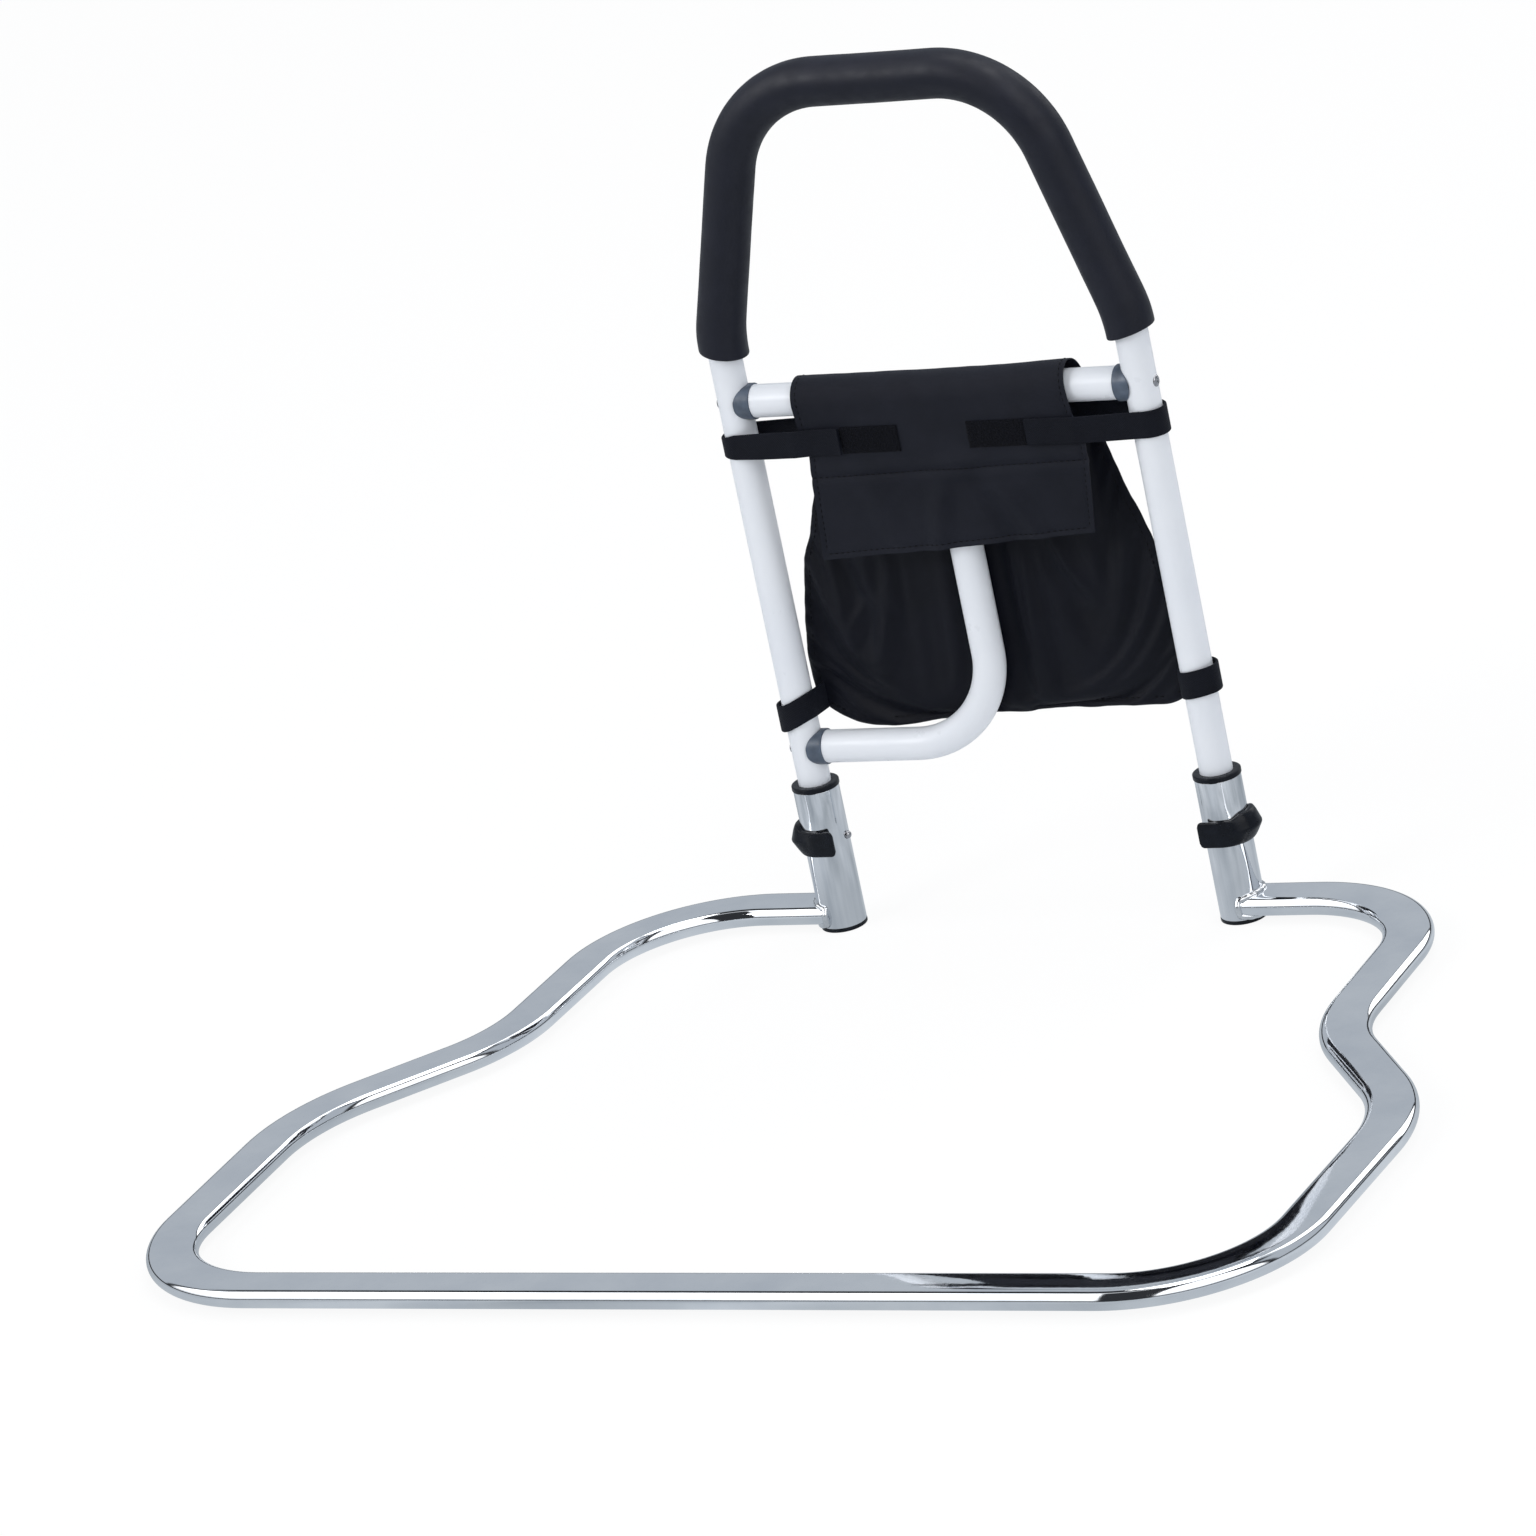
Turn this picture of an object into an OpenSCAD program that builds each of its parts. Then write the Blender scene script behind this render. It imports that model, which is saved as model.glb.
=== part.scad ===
// Bedside assist rail: a flat-oval tube base that slides under a mattress, two upright sockets,
// a bent grab handle locked in them by two clip pins, a brace, and a cloth storage bag.
// X runs across the rail, +Y away from the bed, +Z up. Lengths are in millimetres.

/* [Base] */
// Width of the flat-oval base tube, seen from above
base_tube_w = 38; // [32:1:42]
// Height of the flat-oval base tube
base_tube_h = 16; // [12:1:20]
// Gap between the floor of the socket caps and the underside of the base tube
base_clearance = 5; // [3:1:8]
// Distance from the handle plane to the middle of the front tube
base_reach = 664; // [600:1:720]
// Half width of the base at the waist
waist_half_w = 334; // [320:1:350]
// Distance from the handle plane to the waist
waist_reach = 240; // [225:1:255]
// Half width of the base at its widest corner
shoulder_half_w = 439; // [425:1:450]
// Distance from the handle plane to the widest corner
shoulder_reach = 378; // [360:1:395]
// Half width of the base at the front corners
front_half_w = 433; // [420:1:445]

/* [Sockets] */
// Distance between the two socket axes
leg_spacing = 330; // [300:1:360]
// Outer diameter of the socket tube
socket_d = 35; // [34:0.5:38]
// Height of the top of the socket collar
socket_top = 117; // [100:0.5:130]
// Height of the locking pin
pin_z = 73; // [65:1:80]
// Diameter of the locking pin
pin_d = 6; // [5:0.5:8]

/* [Handle] */
// Outer diameter of the handle, crossbar and brace tubes
tube_d = 25; // [22:0.5:25]
// Wall thickness of every steel tube
tube_wall = 1.5; // [1:0.1:2]
// Height of the top run of the handle, to the middle of its tube
handle_top = 663; // [600:1:720]
// Half width between the two top corners, before they are rounded
top_half_w = 111; // [95:1:125]
// Radius of the two top bends
top_bend_r = 84; // [60:1:90]
// Height at which the legs turn inwards
knee_z = 472; // [468:0.5:490]
// Height of the lower ends of the foam grip
foam_z = 460; // [440:1:461]
// Outer diameter of the foam grip
foam_d = 36; // [32:0.5:40]

/* [Crossbar and brace] */
// Height of the crossbar
crossbar_z = 421; // [410:1:430]
// Height of the level run of the brace
brace_z = 145; // [138:1:150]
// Radius of the brace bend
brace_bend_r = 72; // [60:1:80]

/* [Bag] */
// Half width of the sleeve over the crossbar
sleeve_half_w = 115; // [105:1:118]
// Height of the seam at which the front flap hinges
flap_seam_z = 368; // [362:1:382]
// Height of the lower edge of the front flap
flap_bottom_z = 306; // [290:1:330]
// Height of the bottom of the pouch
pouch_bottom_z = 153; // [150:1:165]
// Half width of the pouch at its widest
pouch_half_w = 152; // [130:1:152]
// Distance from the handle plane to the back of the pouch
pouch_back = 52; // [40:1:60]

/* [Hidden] */
$fn = 64;

// A bend is a shade fatter than the straights, which run a little way into it
bend_swell = 0.05;
bend_lap = 1;
$swell = 0;

// Fits
slide_gap = 0.1;
snug_gap = 0.1;

// Base
socket_bend_r = 108;
waist_bend_r = 130;
shoulder_bend_r = 155;
front_bend_r = 108;
cope_reach = 5;
base_z = base_clearance + base_tube_h / 2;
weld_size = 2.5;

// Sockets
leg_x = leg_spacing / 2;
leg_r = tube_d / 2;
socket_r = socket_d / 2;
cap_h = 3;
cap_insert_h = 14;
cap_wall = 2.5;
collar_h = 4;
collar_r = socket_r + 0.7;
collar_sleeve_z = 30;
collar_lip = 0.8;
socket_end_z = socket_top - collar_h;
socket_bore_r = socket_r - tube_wall;
pin_r = pin_d / 2;

// Lock clips
clip_h = 20;
clip_wall = 3;
clip_arm = 15;
clip_rear_arm = 9;
clip_bore_r = socket_r + slide_gap;
clip_outer_r = clip_bore_r + clip_wall;
clip_nose_reach = 8;
clip_nose_tip_h = 8;
clip_nose_half_w = 8;
pin_tip_reach = socket_r + 3.5;
pin_tip_taper = 1.5;
pin_root = clip_outer_r + 4;

// Handle
leg_bottom_z = 22;
leg_plug_h = 12;
plug_wall = 2;
knee_bend_r = 45;
tube_bore_r = leg_r - tube_wall;
leg_top_z = crossbar_z + 30;

// Crossbar, brace, saddles and screws
saddle_web = 5;
saddle_r = leg_r + 1.5;
saddle_wrap = 9;
crossbar_half = leg_x - leg_r - saddle_web;
insert_l = 22;
insert_r = tube_bore_r - snug_gap;
screw_r = 2.5;
screw_hole_r = 2.75;
screw_head_r = 4.5;
screw_head_rise = 1.3;
screw_head_round = 1;
screw_bite = 16;
recess_l = 5;
recess_w = 1.1;
recess_depth = 1.1;

// Bag cloth
cloth = 1.5;
sleeve_bore_r = leg_r + 3.5;
sleeve_r = sleeve_bore_r + cloth;
sleeve_back_z = 400;
flap_gap = 0.5;
flap_bottom_half_w = sleeve_half_w - 5;
pouch_wall = 1.5;
pouch_front = leg_r + 1.5;
pouch_top_z = sleeve_back_z - 0.5;
pouch_mouth_z = 386;
pouch_top_half_w = 109;
pouch_neck_z = 336;
pouch_neck_half_w = 129;
pouch_hip_z = 245;
pouch_corner_r = 36;
pouch_mouth_back = 32;
pouch_belly_z = 205;
pouch_toe_back = 40;

// Straps
strap_t = 2;
strap_arc_steps = 24;
strap_r = leg_r + 0.3;
strap_w = 20.5;
lower_strap_w = 21;
upper_strap_z = 393;
left_lower_strap_z = 176;
right_lower_strap_z = 190;
strap_front = sleeve_r + 0.1;
strap_end_x = 75;
patch_end_x = 28;
patch_t = 0.8;
strap_bag_x = sleeve_half_w + 2;
strap_sewn_x = pouch_top_half_w + 7;
lower_tab_x = 8;
lower_tab_start = 18;

// The whole model is centred on its own footprint
handle_y = (base_reach + base_tube_w / 2 - pouch_back) / 2;

// ---------- Bent tube helpers ----------

// Direction from point a to point b
function heading(a, b) = atan2(b[1] - a[1], b[0] - a[0]);

// Signed turn at point b, positive to the left
function turn(a, b, c) =
    let (t = heading(b, c) - heading(a, b))
    t > 180 ? t - 360 : t < -180 ? t + 360 : t;

// Length of straight that the bend at corner i takes from each side
function setback(corners, radii, i) =
    i == 0 || i == len(corners) - 1
        ? 0
        : radii[i] * tan(abs(turn(corners[i - 1], corners[i], corners[i + 1])) / 2);

// One straight stretch, from corner i to the next, of the profile given as a child.
// It laps into the bends at its ends.
module bar_straight(corners, radii, i) {
    a = corners[i];
    b = corners[i + 1];
    start = i == 0 ? 0 : setback(corners, radii, i) - bend_lap;
    end = i + 2 == len(corners) ? 0 : setback(corners, radii, i + 1) - bend_lap;
    translate([a[0], a[1], 0])
        rotate([0, 0, heading(a, b)])
            translate([start, 0, 0])
                rotate([90, 0, 90])
                    linear_extrude(norm(b - a) - start - end)
                        children();
}

// One bend, at corner i, of the profile given as a child, which grows by $swell
module bar_bend(corners, radii, i) {
    t = turn(corners[i - 1], corners[i], corners[i + 1]);
    h = heading(corners[i - 1], corners[i]);
    side = sign(t);
    start = corners[i] - setback(corners, radii, i) * [cos(h), sin(h)];
    centre = start + side * radii[i] * [-sin(h), cos(h)];
    $swell = bend_swell;
    translate([centre[0], centre[1], 0])
        rotate([0, 0, h - side * 90 + min(t, 0)])
            rotate_extrude(angle = abs(t), $fn = 96)
                translate([radii[i], 0])
                    children();
}

// A bar bent in the XY plane through the corners, each rounded to its radius
module bent_bar(corners, radii) {
    for (i = [0 : len(corners) - 2])
        bar_straight(corners, radii, i) children();
    for (i = [1 : len(corners) - 2])
        bar_bend(corners, radii, i) children();
}

// A bent bar of the first child, bored along its whole length to the second child
module bent_tube(corners, radii) {
    difference() {
        bent_bar(corners, radii) children(0);
        bent_bar(corners, radii) children(1);
    }
}

module round_2d(r) {
    circle(r + $swell);
}

module ring_2d(outer_r, inner_r) {
    difference() {
        circle(outer_r);
        circle(inner_r);
    }
}

// Oval with flat top and bottom, w wide and h high
module flat_oval_2d(w, h) {
    square([w - h, h + 2 * $swell], center = true);
    for (side = [-1, 1])
        translate([side * (w - h) / 2, 0])
            circle(h / 2 + $swell);
}

// ---------- Placing helpers ----------

// Puts a piece drawn about the handle plane into the model's own frame
module place() {
    translate([0, handle_y, 0])
        children();
}

// A piece drawn for the right side (side = 1), or mirrored to the left (side = -1)
module on_side(side) {
    place()
        mirror([side < 0 ? 1 : 0, 0, 0])
            children();
}

// A cylinder along X that runs from x0 to x1, at height z
module rod_x(r, x0, x1, z) {
    translate([x0, 0, z])
        rotate([0, 90, 0])
            cylinder(h = x1 - x0, r = r);
}

module leg_core(r, z0, z1) {
    translate([leg_x, 0, z0])
        cylinder(h = z1 - z0, r = r);
}

// ---------- Base ----------

base_right = [
    [leg_x + cope_reach, 0],
    [leg_x + leg_spacing / 2, 0],
    [waist_half_w, -waist_reach],
    [shoulder_half_w, -shoulder_reach],
    [front_half_w, -base_reach]
];
base_right_radii = [0, socket_bend_r, waist_bend_r, shoulder_bend_r, front_bend_r];
base_last = len(base_right) - 1;
base_corners = concat(
    base_right,
    [for (i = [base_last : -1 : 0]) [-base_right[i][0], base_right[i][1]]]
);
base_radii = concat(
    base_right_radii,
    [for (i = [base_last : -1 : 0]) base_right_radii[i]]
);

// The loop of the base, coped to fit round the two sockets
module base_tube() {
    color("silver")
        place()
            difference() {
                translate([0, 0, base_z])
                    bent_tube(base_corners, base_radii) {
                        flat_oval_2d(base_tube_w, base_tube_h);
                        flat_oval_2d(base_tube_w - 2 * tube_wall, base_tube_h - 2 * tube_wall);
                    }
                for (side = [-1, 1])
                    translate([side * leg_x, 0, 0])
                        cylinder(h = socket_top, r = socket_r);
            }
}

// The bead that runs round the base tube where it meets a socket
module socket_weld() {
    reach = base_tube_w + 2 * weld_size;
    difference() {
        intersection() {
            leg_core(socket_r + weld_size, 0, socket_top);
            translate([leg_x + cope_reach, 0, base_z])
                rotate([90, 0, 90])
                    linear_extrude(socket_r + weld_size)
                        flat_oval_2d(reach, base_tube_h + weld_size);
        }
        leg_core(socket_r, 0, socket_top);
        translate([leg_x, 0, base_z])
            rotate([90, 0, 90])
                linear_extrude(reach)
                    flat_oval_2d(base_tube_w, base_tube_h);
    }
}

module socket_welds() {
    color("lightgrey")
        for (side = [-1, 1])
            on_side(side) socket_weld();
}

// ---------- Sockets ----------

module socket(side) {
    color("silver")
        on_side(side)
            difference() {
                leg_core(socket_r, cap_h, socket_end_z);
                leg_core(socket_bore_r, 0, socket_top);
                rod_x(pin_r + slide_gap, leg_x - socket_d, leg_x + socket_d, pin_z);
            }
}

module socket_cap(side) {
    color("black")
        on_side(side)
            difference() {
                union() {
                    leg_core(socket_r, 0, cap_h);
                    leg_core(socket_bore_r - snug_gap, cap_h, cap_insert_h);
                }
                leg_core(socket_bore_r - cap_wall, cap_h, socket_top);
            }
}

// Flanged bush that guides the leg in its socket
module socket_collar(side) {
    flange = [
        [leg_r + snug_gap, socket_end_z],
        [collar_r, socket_end_z],
        [collar_r, socket_top - collar_lip],
        [collar_r - collar_lip, socket_top],
        [leg_r + snug_gap, socket_top]
    ];
    color("black")
        on_side(side)
            difference() {
                union() {
                    translate([leg_x, 0, 0])
                        rotate_extrude()
                            polygon(flange);
                    difference() {
                        leg_core(socket_bore_r - snug_gap, collar_sleeve_z, socket_end_z);
                        leg_core(leg_r + snug_gap, 0, socket_top);
                    }
                }
                rod_x(pin_r + slide_gap, leg_x - socket_d, leg_x + socket_d, pin_z);
            }
}

// ---------- Locks ----------

// U outline that hugs the outer half of the socket and runs on past it as two arms,
// the front one longer than the rear one
module clip_outline_2d(r) {
    intersection() {
        union() {
            circle(r);
            translate([-clip_arm, -r])
                square([clip_arm, 2 * r]);
        }
        union() {
            translate([-clip_arm, -socket_d])
                square(socket_d);
            translate([-clip_rear_arm, -socket_d])
                square(2 * socket_d);
        }
    }
}

// Wedge on the outside of the clip that the fingers pull
module clip_nose() {
    base = clip_bore_r + clip_wall / 2;
    tip = clip_outer_r + clip_nose_reach;
    translate([0, clip_nose_half_w, 0])
        rotate([90, 0, 0])
            linear_extrude(2 * clip_nose_half_w)
                polygon([
                    [base, -clip_h / 2],
                    [tip, -clip_nose_tip_h / 2],
                    [tip, clip_nose_tip_h / 2],
                    [base, clip_h / 2]
                ]);
}

module lock_clip(side) {
    color("black")
        on_side(side)
            translate([leg_x, 0, pin_z])
                difference() {
                    union() {
                        translate([0, 0, -clip_h / 2])
                            linear_extrude(clip_h)
                                clip_outline_2d(clip_outer_r);
                        clip_nose();
                    }
                    translate([0, 0, -clip_h])
                        linear_extrude(2 * clip_h) {
                            circle(clip_bore_r);
                            translate([-socket_d, -clip_bore_r])
                                square([socket_d, 2 * clip_bore_r]);
                        }
                    rod_x(pin_r, 0, pin_root, 0);
                }
}

// Steel pin fixed in the clip, right through the socket and the leg
module lock_pin(side) {
    color("gainsboro")
        on_side(side)
            translate([leg_x, 0, 0]) {
                rod_x(pin_r, -pin_tip_reach + pin_tip_taper, pin_root, pin_z);
                translate([-pin_tip_reach, 0, pin_z])
                    rotate([0, 90, 0])
                        cylinder(h = pin_tip_taper, r1 = pin_r - pin_tip_taper, r2 = pin_r);
            }
}

// ---------- Handle ----------

// Both legs and the top, as corners in the upright plane
function handle_corners(foot_z) = [
    [leg_x, foot_z],
    [leg_x, knee_z],
    [top_half_w, handle_top],
    [-top_half_w, handle_top],
    [-leg_x, knee_z],
    [-leg_x, foot_z]
];
handle_radii = [0, knee_bend_r, top_bend_r, top_bend_r, knee_bend_r, 0];

module handle_tube() {
    color("white")
        place()
            difference() {
                rotate([90, 0, 0])
                    bent_tube(handle_corners(leg_bottom_z), handle_radii) {
                        round_2d(leg_r);
                        round_2d(tube_bore_r);
                    }
                for (side = [-1, 1])
                    mirror([side < 0 ? 1 : 0, 0, 0]) {
                        rod_x(pin_r + slide_gap, leg_x - socket_d, leg_x + socket_d, pin_z);
                        rod_x(screw_hole_r, leg_x - tube_d, leg_x + tube_d, crossbar_z);
                    }
                rod_x(screw_hole_r, -leg_x - tube_d, -leg_x + tube_d, brace_z);
            }
}

module foam_grip() {
    color([0.1, 0.1, 0.12])
        place()
            rotate([90, 0, 0])
                bent_tube(handle_corners(foam_z), handle_radii) {
                    round_2d(foam_d / 2);
                    round_2d(leg_r + snug_gap);
                }
}

module leg_plug(side) {
    color("dimgrey")
        on_side(side)
            difference() {
                union() {
                    leg_core(leg_r, leg_bottom_z - cap_h, leg_bottom_z);
                    leg_core(tube_bore_r - snug_gap, leg_bottom_z, leg_bottom_z + leg_plug_h);
                }
                leg_core(tube_bore_r - plug_wall, leg_bottom_z, leg_top_z);
            }
}

// ---------- Crossbar ----------

module crossbar() {
    color("white")
        place()
            difference() {
                rod_x(leg_r, -crossbar_half, crossbar_half, crossbar_z);
                rod_x(tube_bore_r, -leg_x, leg_x, crossbar_z);
                translate([0, 0, crossbar_z - tube_d])
                    cylinder(h = 2 * tube_d, r = screw_hole_r);
            }
}

// Plastic spacer drawn along X, square at the bar end and hollowed to fit a round tube
module saddle_at(z) {
    difference() {
        rod_x(saddle_r, crossbar_half, leg_x - leg_r + saddle_wrap, z);
        leg_core(leg_r, z - tube_d, z + tube_d);
        rod_x(screw_hole_r, 0, leg_x, z);
    }
}

// Threaded plug in the end of a bar, drawn along X
module insert_at(z) {
    difference() {
        rod_x(insert_r, crossbar_half - insert_l, crossbar_half, z);
        rod_x(screw_r, 0, leg_x, z);
    }
}

// Screw through a leg into the insert, with a head hollowed to sit on the round tube
module screw_at(z) {
    head_x = leg_x + leg_r + screw_head_rise;
    difference() {
        union() {
            rod_x(screw_head_r, leg_x, head_x - screw_head_round, z);
            translate([head_x - screw_head_round, 0, z])
                rotate([0, 90, 0])
                    cylinder(
                        h = screw_head_round,
                        r1 = screw_head_r,
                        r2 = screw_head_r - screw_head_round
                    );
        }
        leg_core(leg_r, z - tube_d, z + tube_d);
        for (turned = [0, 90])
            translate([head_x, 0, z])
                rotate([turned, 0, 0])
                    cube([2 * recess_depth, recess_w, recess_l], center = true);
    }
    rod_x(screw_r, crossbar_half - screw_bite, leg_x + leg_r, z);
}

// A piece drawn at a leg, turned to sit under the middle of the crossbar
module under_crossbar() {
    place()
        translate([0, 0, crossbar_z])
            rotate([0, -90, 0])
                translate([-leg_x, 0, 0])
                    children();
}

module crossbar_saddle(side) {
    color("slategrey")
        on_side(side) saddle_at(crossbar_z);
}

module crossbar_insert(side) {
    color("dimgrey")
        on_side(side) insert_at(crossbar_z);
}

module crossbar_screws() {
    color("gainsboro")
        for (side = [-1, 1])
            on_side(side) screw_at(crossbar_z);
}

// ---------- Brace ----------

brace_top_z = crossbar_z - leg_r - saddle_web;

module brace_tube() {
    color("white")
        place()
            rotate([90, 0, 0])
                bent_tube(
                    [[-crossbar_half, brace_z], [0, brace_z], [0, brace_top_z]],
                    [0, brace_bend_r, 0]
                ) {
                    round_2d(leg_r);
                    round_2d(tube_bore_r);
                }
}

module brace_lower_saddle() {
    color("slategrey")
        on_side(-1) saddle_at(brace_z);
}

module brace_upper_saddle() {
    color("slategrey")
        under_crossbar() saddle_at(0);
}

module brace_lower_insert() {
    color("dimgrey")
        on_side(-1) insert_at(brace_z);
}

module brace_upper_insert() {
    color("dimgrey")
        under_crossbar() insert_at(0);
}

module brace_screws() {
    color("gainsboro") {
        on_side(-1) screw_at(brace_z);
        under_crossbar() screw_at(0);
    }
}

// ---------- Bag ----------

// Cloth laid over the crossbar, hanging to the seam in front and to the pouch behind
module bag_sleeve() {
    color([0.12, 0.12, 0.14])
        place()
            translate([-sleeve_half_w, 0, crossbar_z])
                rotate([90, 0, 90])
                    linear_extrude(2 * sleeve_half_w) {
                        difference() {
                            ring_2d(sleeve_r, sleeve_bore_r);
                            translate([-tube_d, -2 * tube_d])
                                square(2 * tube_d);
                        }
                        translate([-sleeve_r, flap_seam_z - crossbar_z])
                            square([cloth, crossbar_z - flap_seam_z]);
                        translate([sleeve_bore_r, sleeve_back_z - crossbar_z])
                            square([cloth, crossbar_z - sleeve_back_z]);
                    }
}

// Free front panel below the seam
module bag_flap() {
    top = flap_seam_z - flap_gap;
    color([0.13, 0.13, 0.15])
        place()
            translate([0, -sleeve_bore_r, 0])
                rotate([90, 0, 0])
                    linear_extrude(cloth)
                        polygon([
                            [-sleeve_half_w, top],
                            [-flap_bottom_half_w, flap_bottom_z],
                            [flap_bottom_half_w, flap_bottom_z],
                            [sleeve_half_w, top]
                        ]);
}

// Outline of the pouch from the front, drawn in by inset all round
module pouch_front_2d(inset, top_z) {
    corner_x = pouch_half_w - pouch_corner_r;
    corner_z = pouch_bottom_z + pouch_corner_r;
    polygon([
        [-pouch_top_half_w + inset, top_z],
        [-pouch_neck_half_w + inset, pouch_neck_z],
        [-pouch_half_w + inset, pouch_hip_z],
        [-pouch_half_w + inset, corner_z],
        [-corner_x, pouch_bottom_z + inset],
        [corner_x, pouch_bottom_z + inset],
        [pouch_half_w - inset, corner_z],
        [pouch_half_w - inset, pouch_hip_z],
        [pouch_neck_half_w - inset, pouch_neck_z],
        [pouch_top_half_w - inset, top_z]
    ]);
    for (side = [-1, 1])
        translate([side * corner_x, corner_z])
            circle(pouch_corner_r - inset);
}

// Outline of the pouch from the side: flat against the brace, full at the belly
module pouch_side_2d(inset, top_z) {
    polygon([
        [pouch_front + inset, pouch_bottom_z],
        [pouch_front + inset, top_z],
        [pouch_mouth_back - inset, top_z],
        [pouch_mouth_back - inset, pouch_mouth_z],
        [pouch_back - inset, pouch_belly_z],
        [pouch_toe_back - inset, pouch_bottom_z]
    ]);
}

module pouch_body(inset, top_z) {
    intersection() {
        translate([0, pouch_back, 0])
            rotate([90, 0, 0])
                linear_extrude(pouch_back)
                    pouch_front_2d(inset, top_z);
        translate([-pouch_half_w, 0, 0])
            rotate([90, 0, 90])
                linear_extrude(2 * pouch_half_w)
                    pouch_side_2d(inset, top_z);
    }
}

// Hanging pouch with its mouth open at the top, and the back lower than the front
module bag_pouch() {
    color([0.1, 0.1, 0.12])
        place()
            difference() {
                pouch_body(0, pouch_top_z);
                pouch_body(pouch_wall, pouch_top_z + pouch_wall);
                translate([-sleeve_half_w, pouch_front + pouch_wall, pouch_mouth_z])
                    cube([2 * sleeve_half_w, pouch_back, tube_d]);
            }
}

// ---------- Straps ----------

module hook_patch(side) {
    color([0.07, 0.07, 0.08])
        on_side(side)
            translate([patch_end_x, -sleeve_r - patch_t, upper_strap_z - strap_w / 2])
                cube([strap_end_x - patch_end_x, patch_t, strap_w]);
}

// Points of a half circle round the outer side of the leg, from one angle to another
function leg_arc(r, from, to) =
    [for (i = [0 : strap_arc_steps])
        let (angle = from + (to - from) * i / strap_arc_steps)
        [leg_x + r * cos(angle), r * sin(angle)]];

// Band sewn to the back of the bag, round the leg and back to the patch in front
module upper_strap(side) {
    front_end = strap_end_x + flap_gap;
    color([0.08, 0.08, 0.09])
        on_side(side)
            translate([0, 0, upper_strap_z - strap_w / 2])
                linear_extrude(strap_w)
                    polygon(concat(
                        [
                            [front_end, -strap_front],
                            [front_end, -strap_front - strap_t],
                            [strap_bag_x, -strap_front - strap_t]
                        ],
                        leg_arc(strap_r + strap_t, -90, 90),
                        [
                            [strap_sewn_x, pouch_front + strap_t],
                            [strap_sewn_x, pouch_front]
                        ],
                        leg_arc(strap_r, 90, -90),
                        [[strap_bag_x, -strap_front]]
                    ));
}

// Band round the leg with a short tab sewn to the lower corner of the pouch
module lower_strap(side, z) {
    color([0.08, 0.08, 0.09])
        on_side(side)
            translate([leg_x, 0, z - lower_strap_w / 2])
                linear_extrude(lower_strap_w)
                    difference() {
                        union() {
                            circle(strap_r + strap_t);
                            translate([-lower_tab_start, 0])
                                square([lower_tab_x, pouch_front]);
                        }
                        circle(strap_r);
                    }
}

base_tube();
socket(-1);  // left_socket
socket(1);  // right_socket
socket_welds();
socket_cap(-1);  // left_socket_cap
socket_cap(1);  // right_socket_cap
socket_collar(-1);  // left_socket_collar
socket_collar(1);  // right_socket_collar
lock_clip(-1);  // left_lock_clip
lock_clip(1);  // right_lock_clip
lock_pin(-1);  // left_lock_pin
lock_pin(1);  // right_lock_pin
handle_tube();
foam_grip();
leg_plug(-1);  // left_leg_plug
leg_plug(1);  // right_leg_plug
crossbar();
crossbar_saddle(-1);  // left_crossbar_saddle
crossbar_saddle(1);  // right_crossbar_saddle
crossbar_insert(-1);  // left_crossbar_insert
crossbar_insert(1);  // right_crossbar_insert
crossbar_screws();
brace_tube();
brace_lower_saddle();
brace_upper_saddle();
brace_lower_insert();
brace_upper_insert();
brace_screws();
bag_sleeve();
bag_flap();
bag_pouch();
hook_patch(-1);  // left_hook_patch
hook_patch(1);  // right_hook_patch
upper_strap(-1);  // left_upper_strap
upper_strap(1);  // right_upper_strap
lower_strap(-1, left_lower_strap_z);  // left_lower_strap
lower_strap(1, right_lower_strap_z);  // right_lower_strap
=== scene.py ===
"""Looks of a bedside assist rail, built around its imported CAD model.

Lengths are millimetres, and points are given about the handle plane: x across the rail, y away
from the bed, z up. place() turns them into metres in the frame of the model. The studio, the
materials and the flat sizes of the cloths are in metres.
"""

import math

import bmesh
import bpy
import numpy as np
from mathutils import Matrix, Vector, noise


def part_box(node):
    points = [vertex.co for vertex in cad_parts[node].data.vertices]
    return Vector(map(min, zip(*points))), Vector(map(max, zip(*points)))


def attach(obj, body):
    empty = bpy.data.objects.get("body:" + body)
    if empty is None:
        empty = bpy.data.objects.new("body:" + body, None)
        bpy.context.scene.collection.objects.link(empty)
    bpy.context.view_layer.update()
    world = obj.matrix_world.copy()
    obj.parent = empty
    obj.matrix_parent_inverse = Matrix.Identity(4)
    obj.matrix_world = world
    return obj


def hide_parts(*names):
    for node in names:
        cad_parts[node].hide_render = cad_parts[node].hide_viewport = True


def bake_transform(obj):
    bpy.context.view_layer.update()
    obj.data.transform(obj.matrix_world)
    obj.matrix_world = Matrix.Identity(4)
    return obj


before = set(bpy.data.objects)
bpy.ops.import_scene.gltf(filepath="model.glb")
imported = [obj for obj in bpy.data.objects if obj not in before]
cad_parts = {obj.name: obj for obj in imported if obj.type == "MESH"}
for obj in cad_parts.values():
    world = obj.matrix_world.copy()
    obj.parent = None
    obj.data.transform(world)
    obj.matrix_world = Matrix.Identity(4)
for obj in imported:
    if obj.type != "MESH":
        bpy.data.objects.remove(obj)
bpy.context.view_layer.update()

MM = 0.001
TAU = 2 * math.pi
RIGHT, AWAY, UP = Vector((1, 0, 0)), Vector((0, 1, 0)), Vector((0, 0, 1))
SIDES = {"left": -1, "right": 1}


def cad_box(node):
    """Lowest and highest corner of a CAD node, in millimetres in the frame of the model."""
    low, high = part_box(node)
    return Vector(low) / MM, Vector(high) / MM


def middle(node):
    low, high = cad_box(node)
    return (low + high) / 2


def extent(node):
    low, high = cad_box(node)
    return high - low


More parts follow.
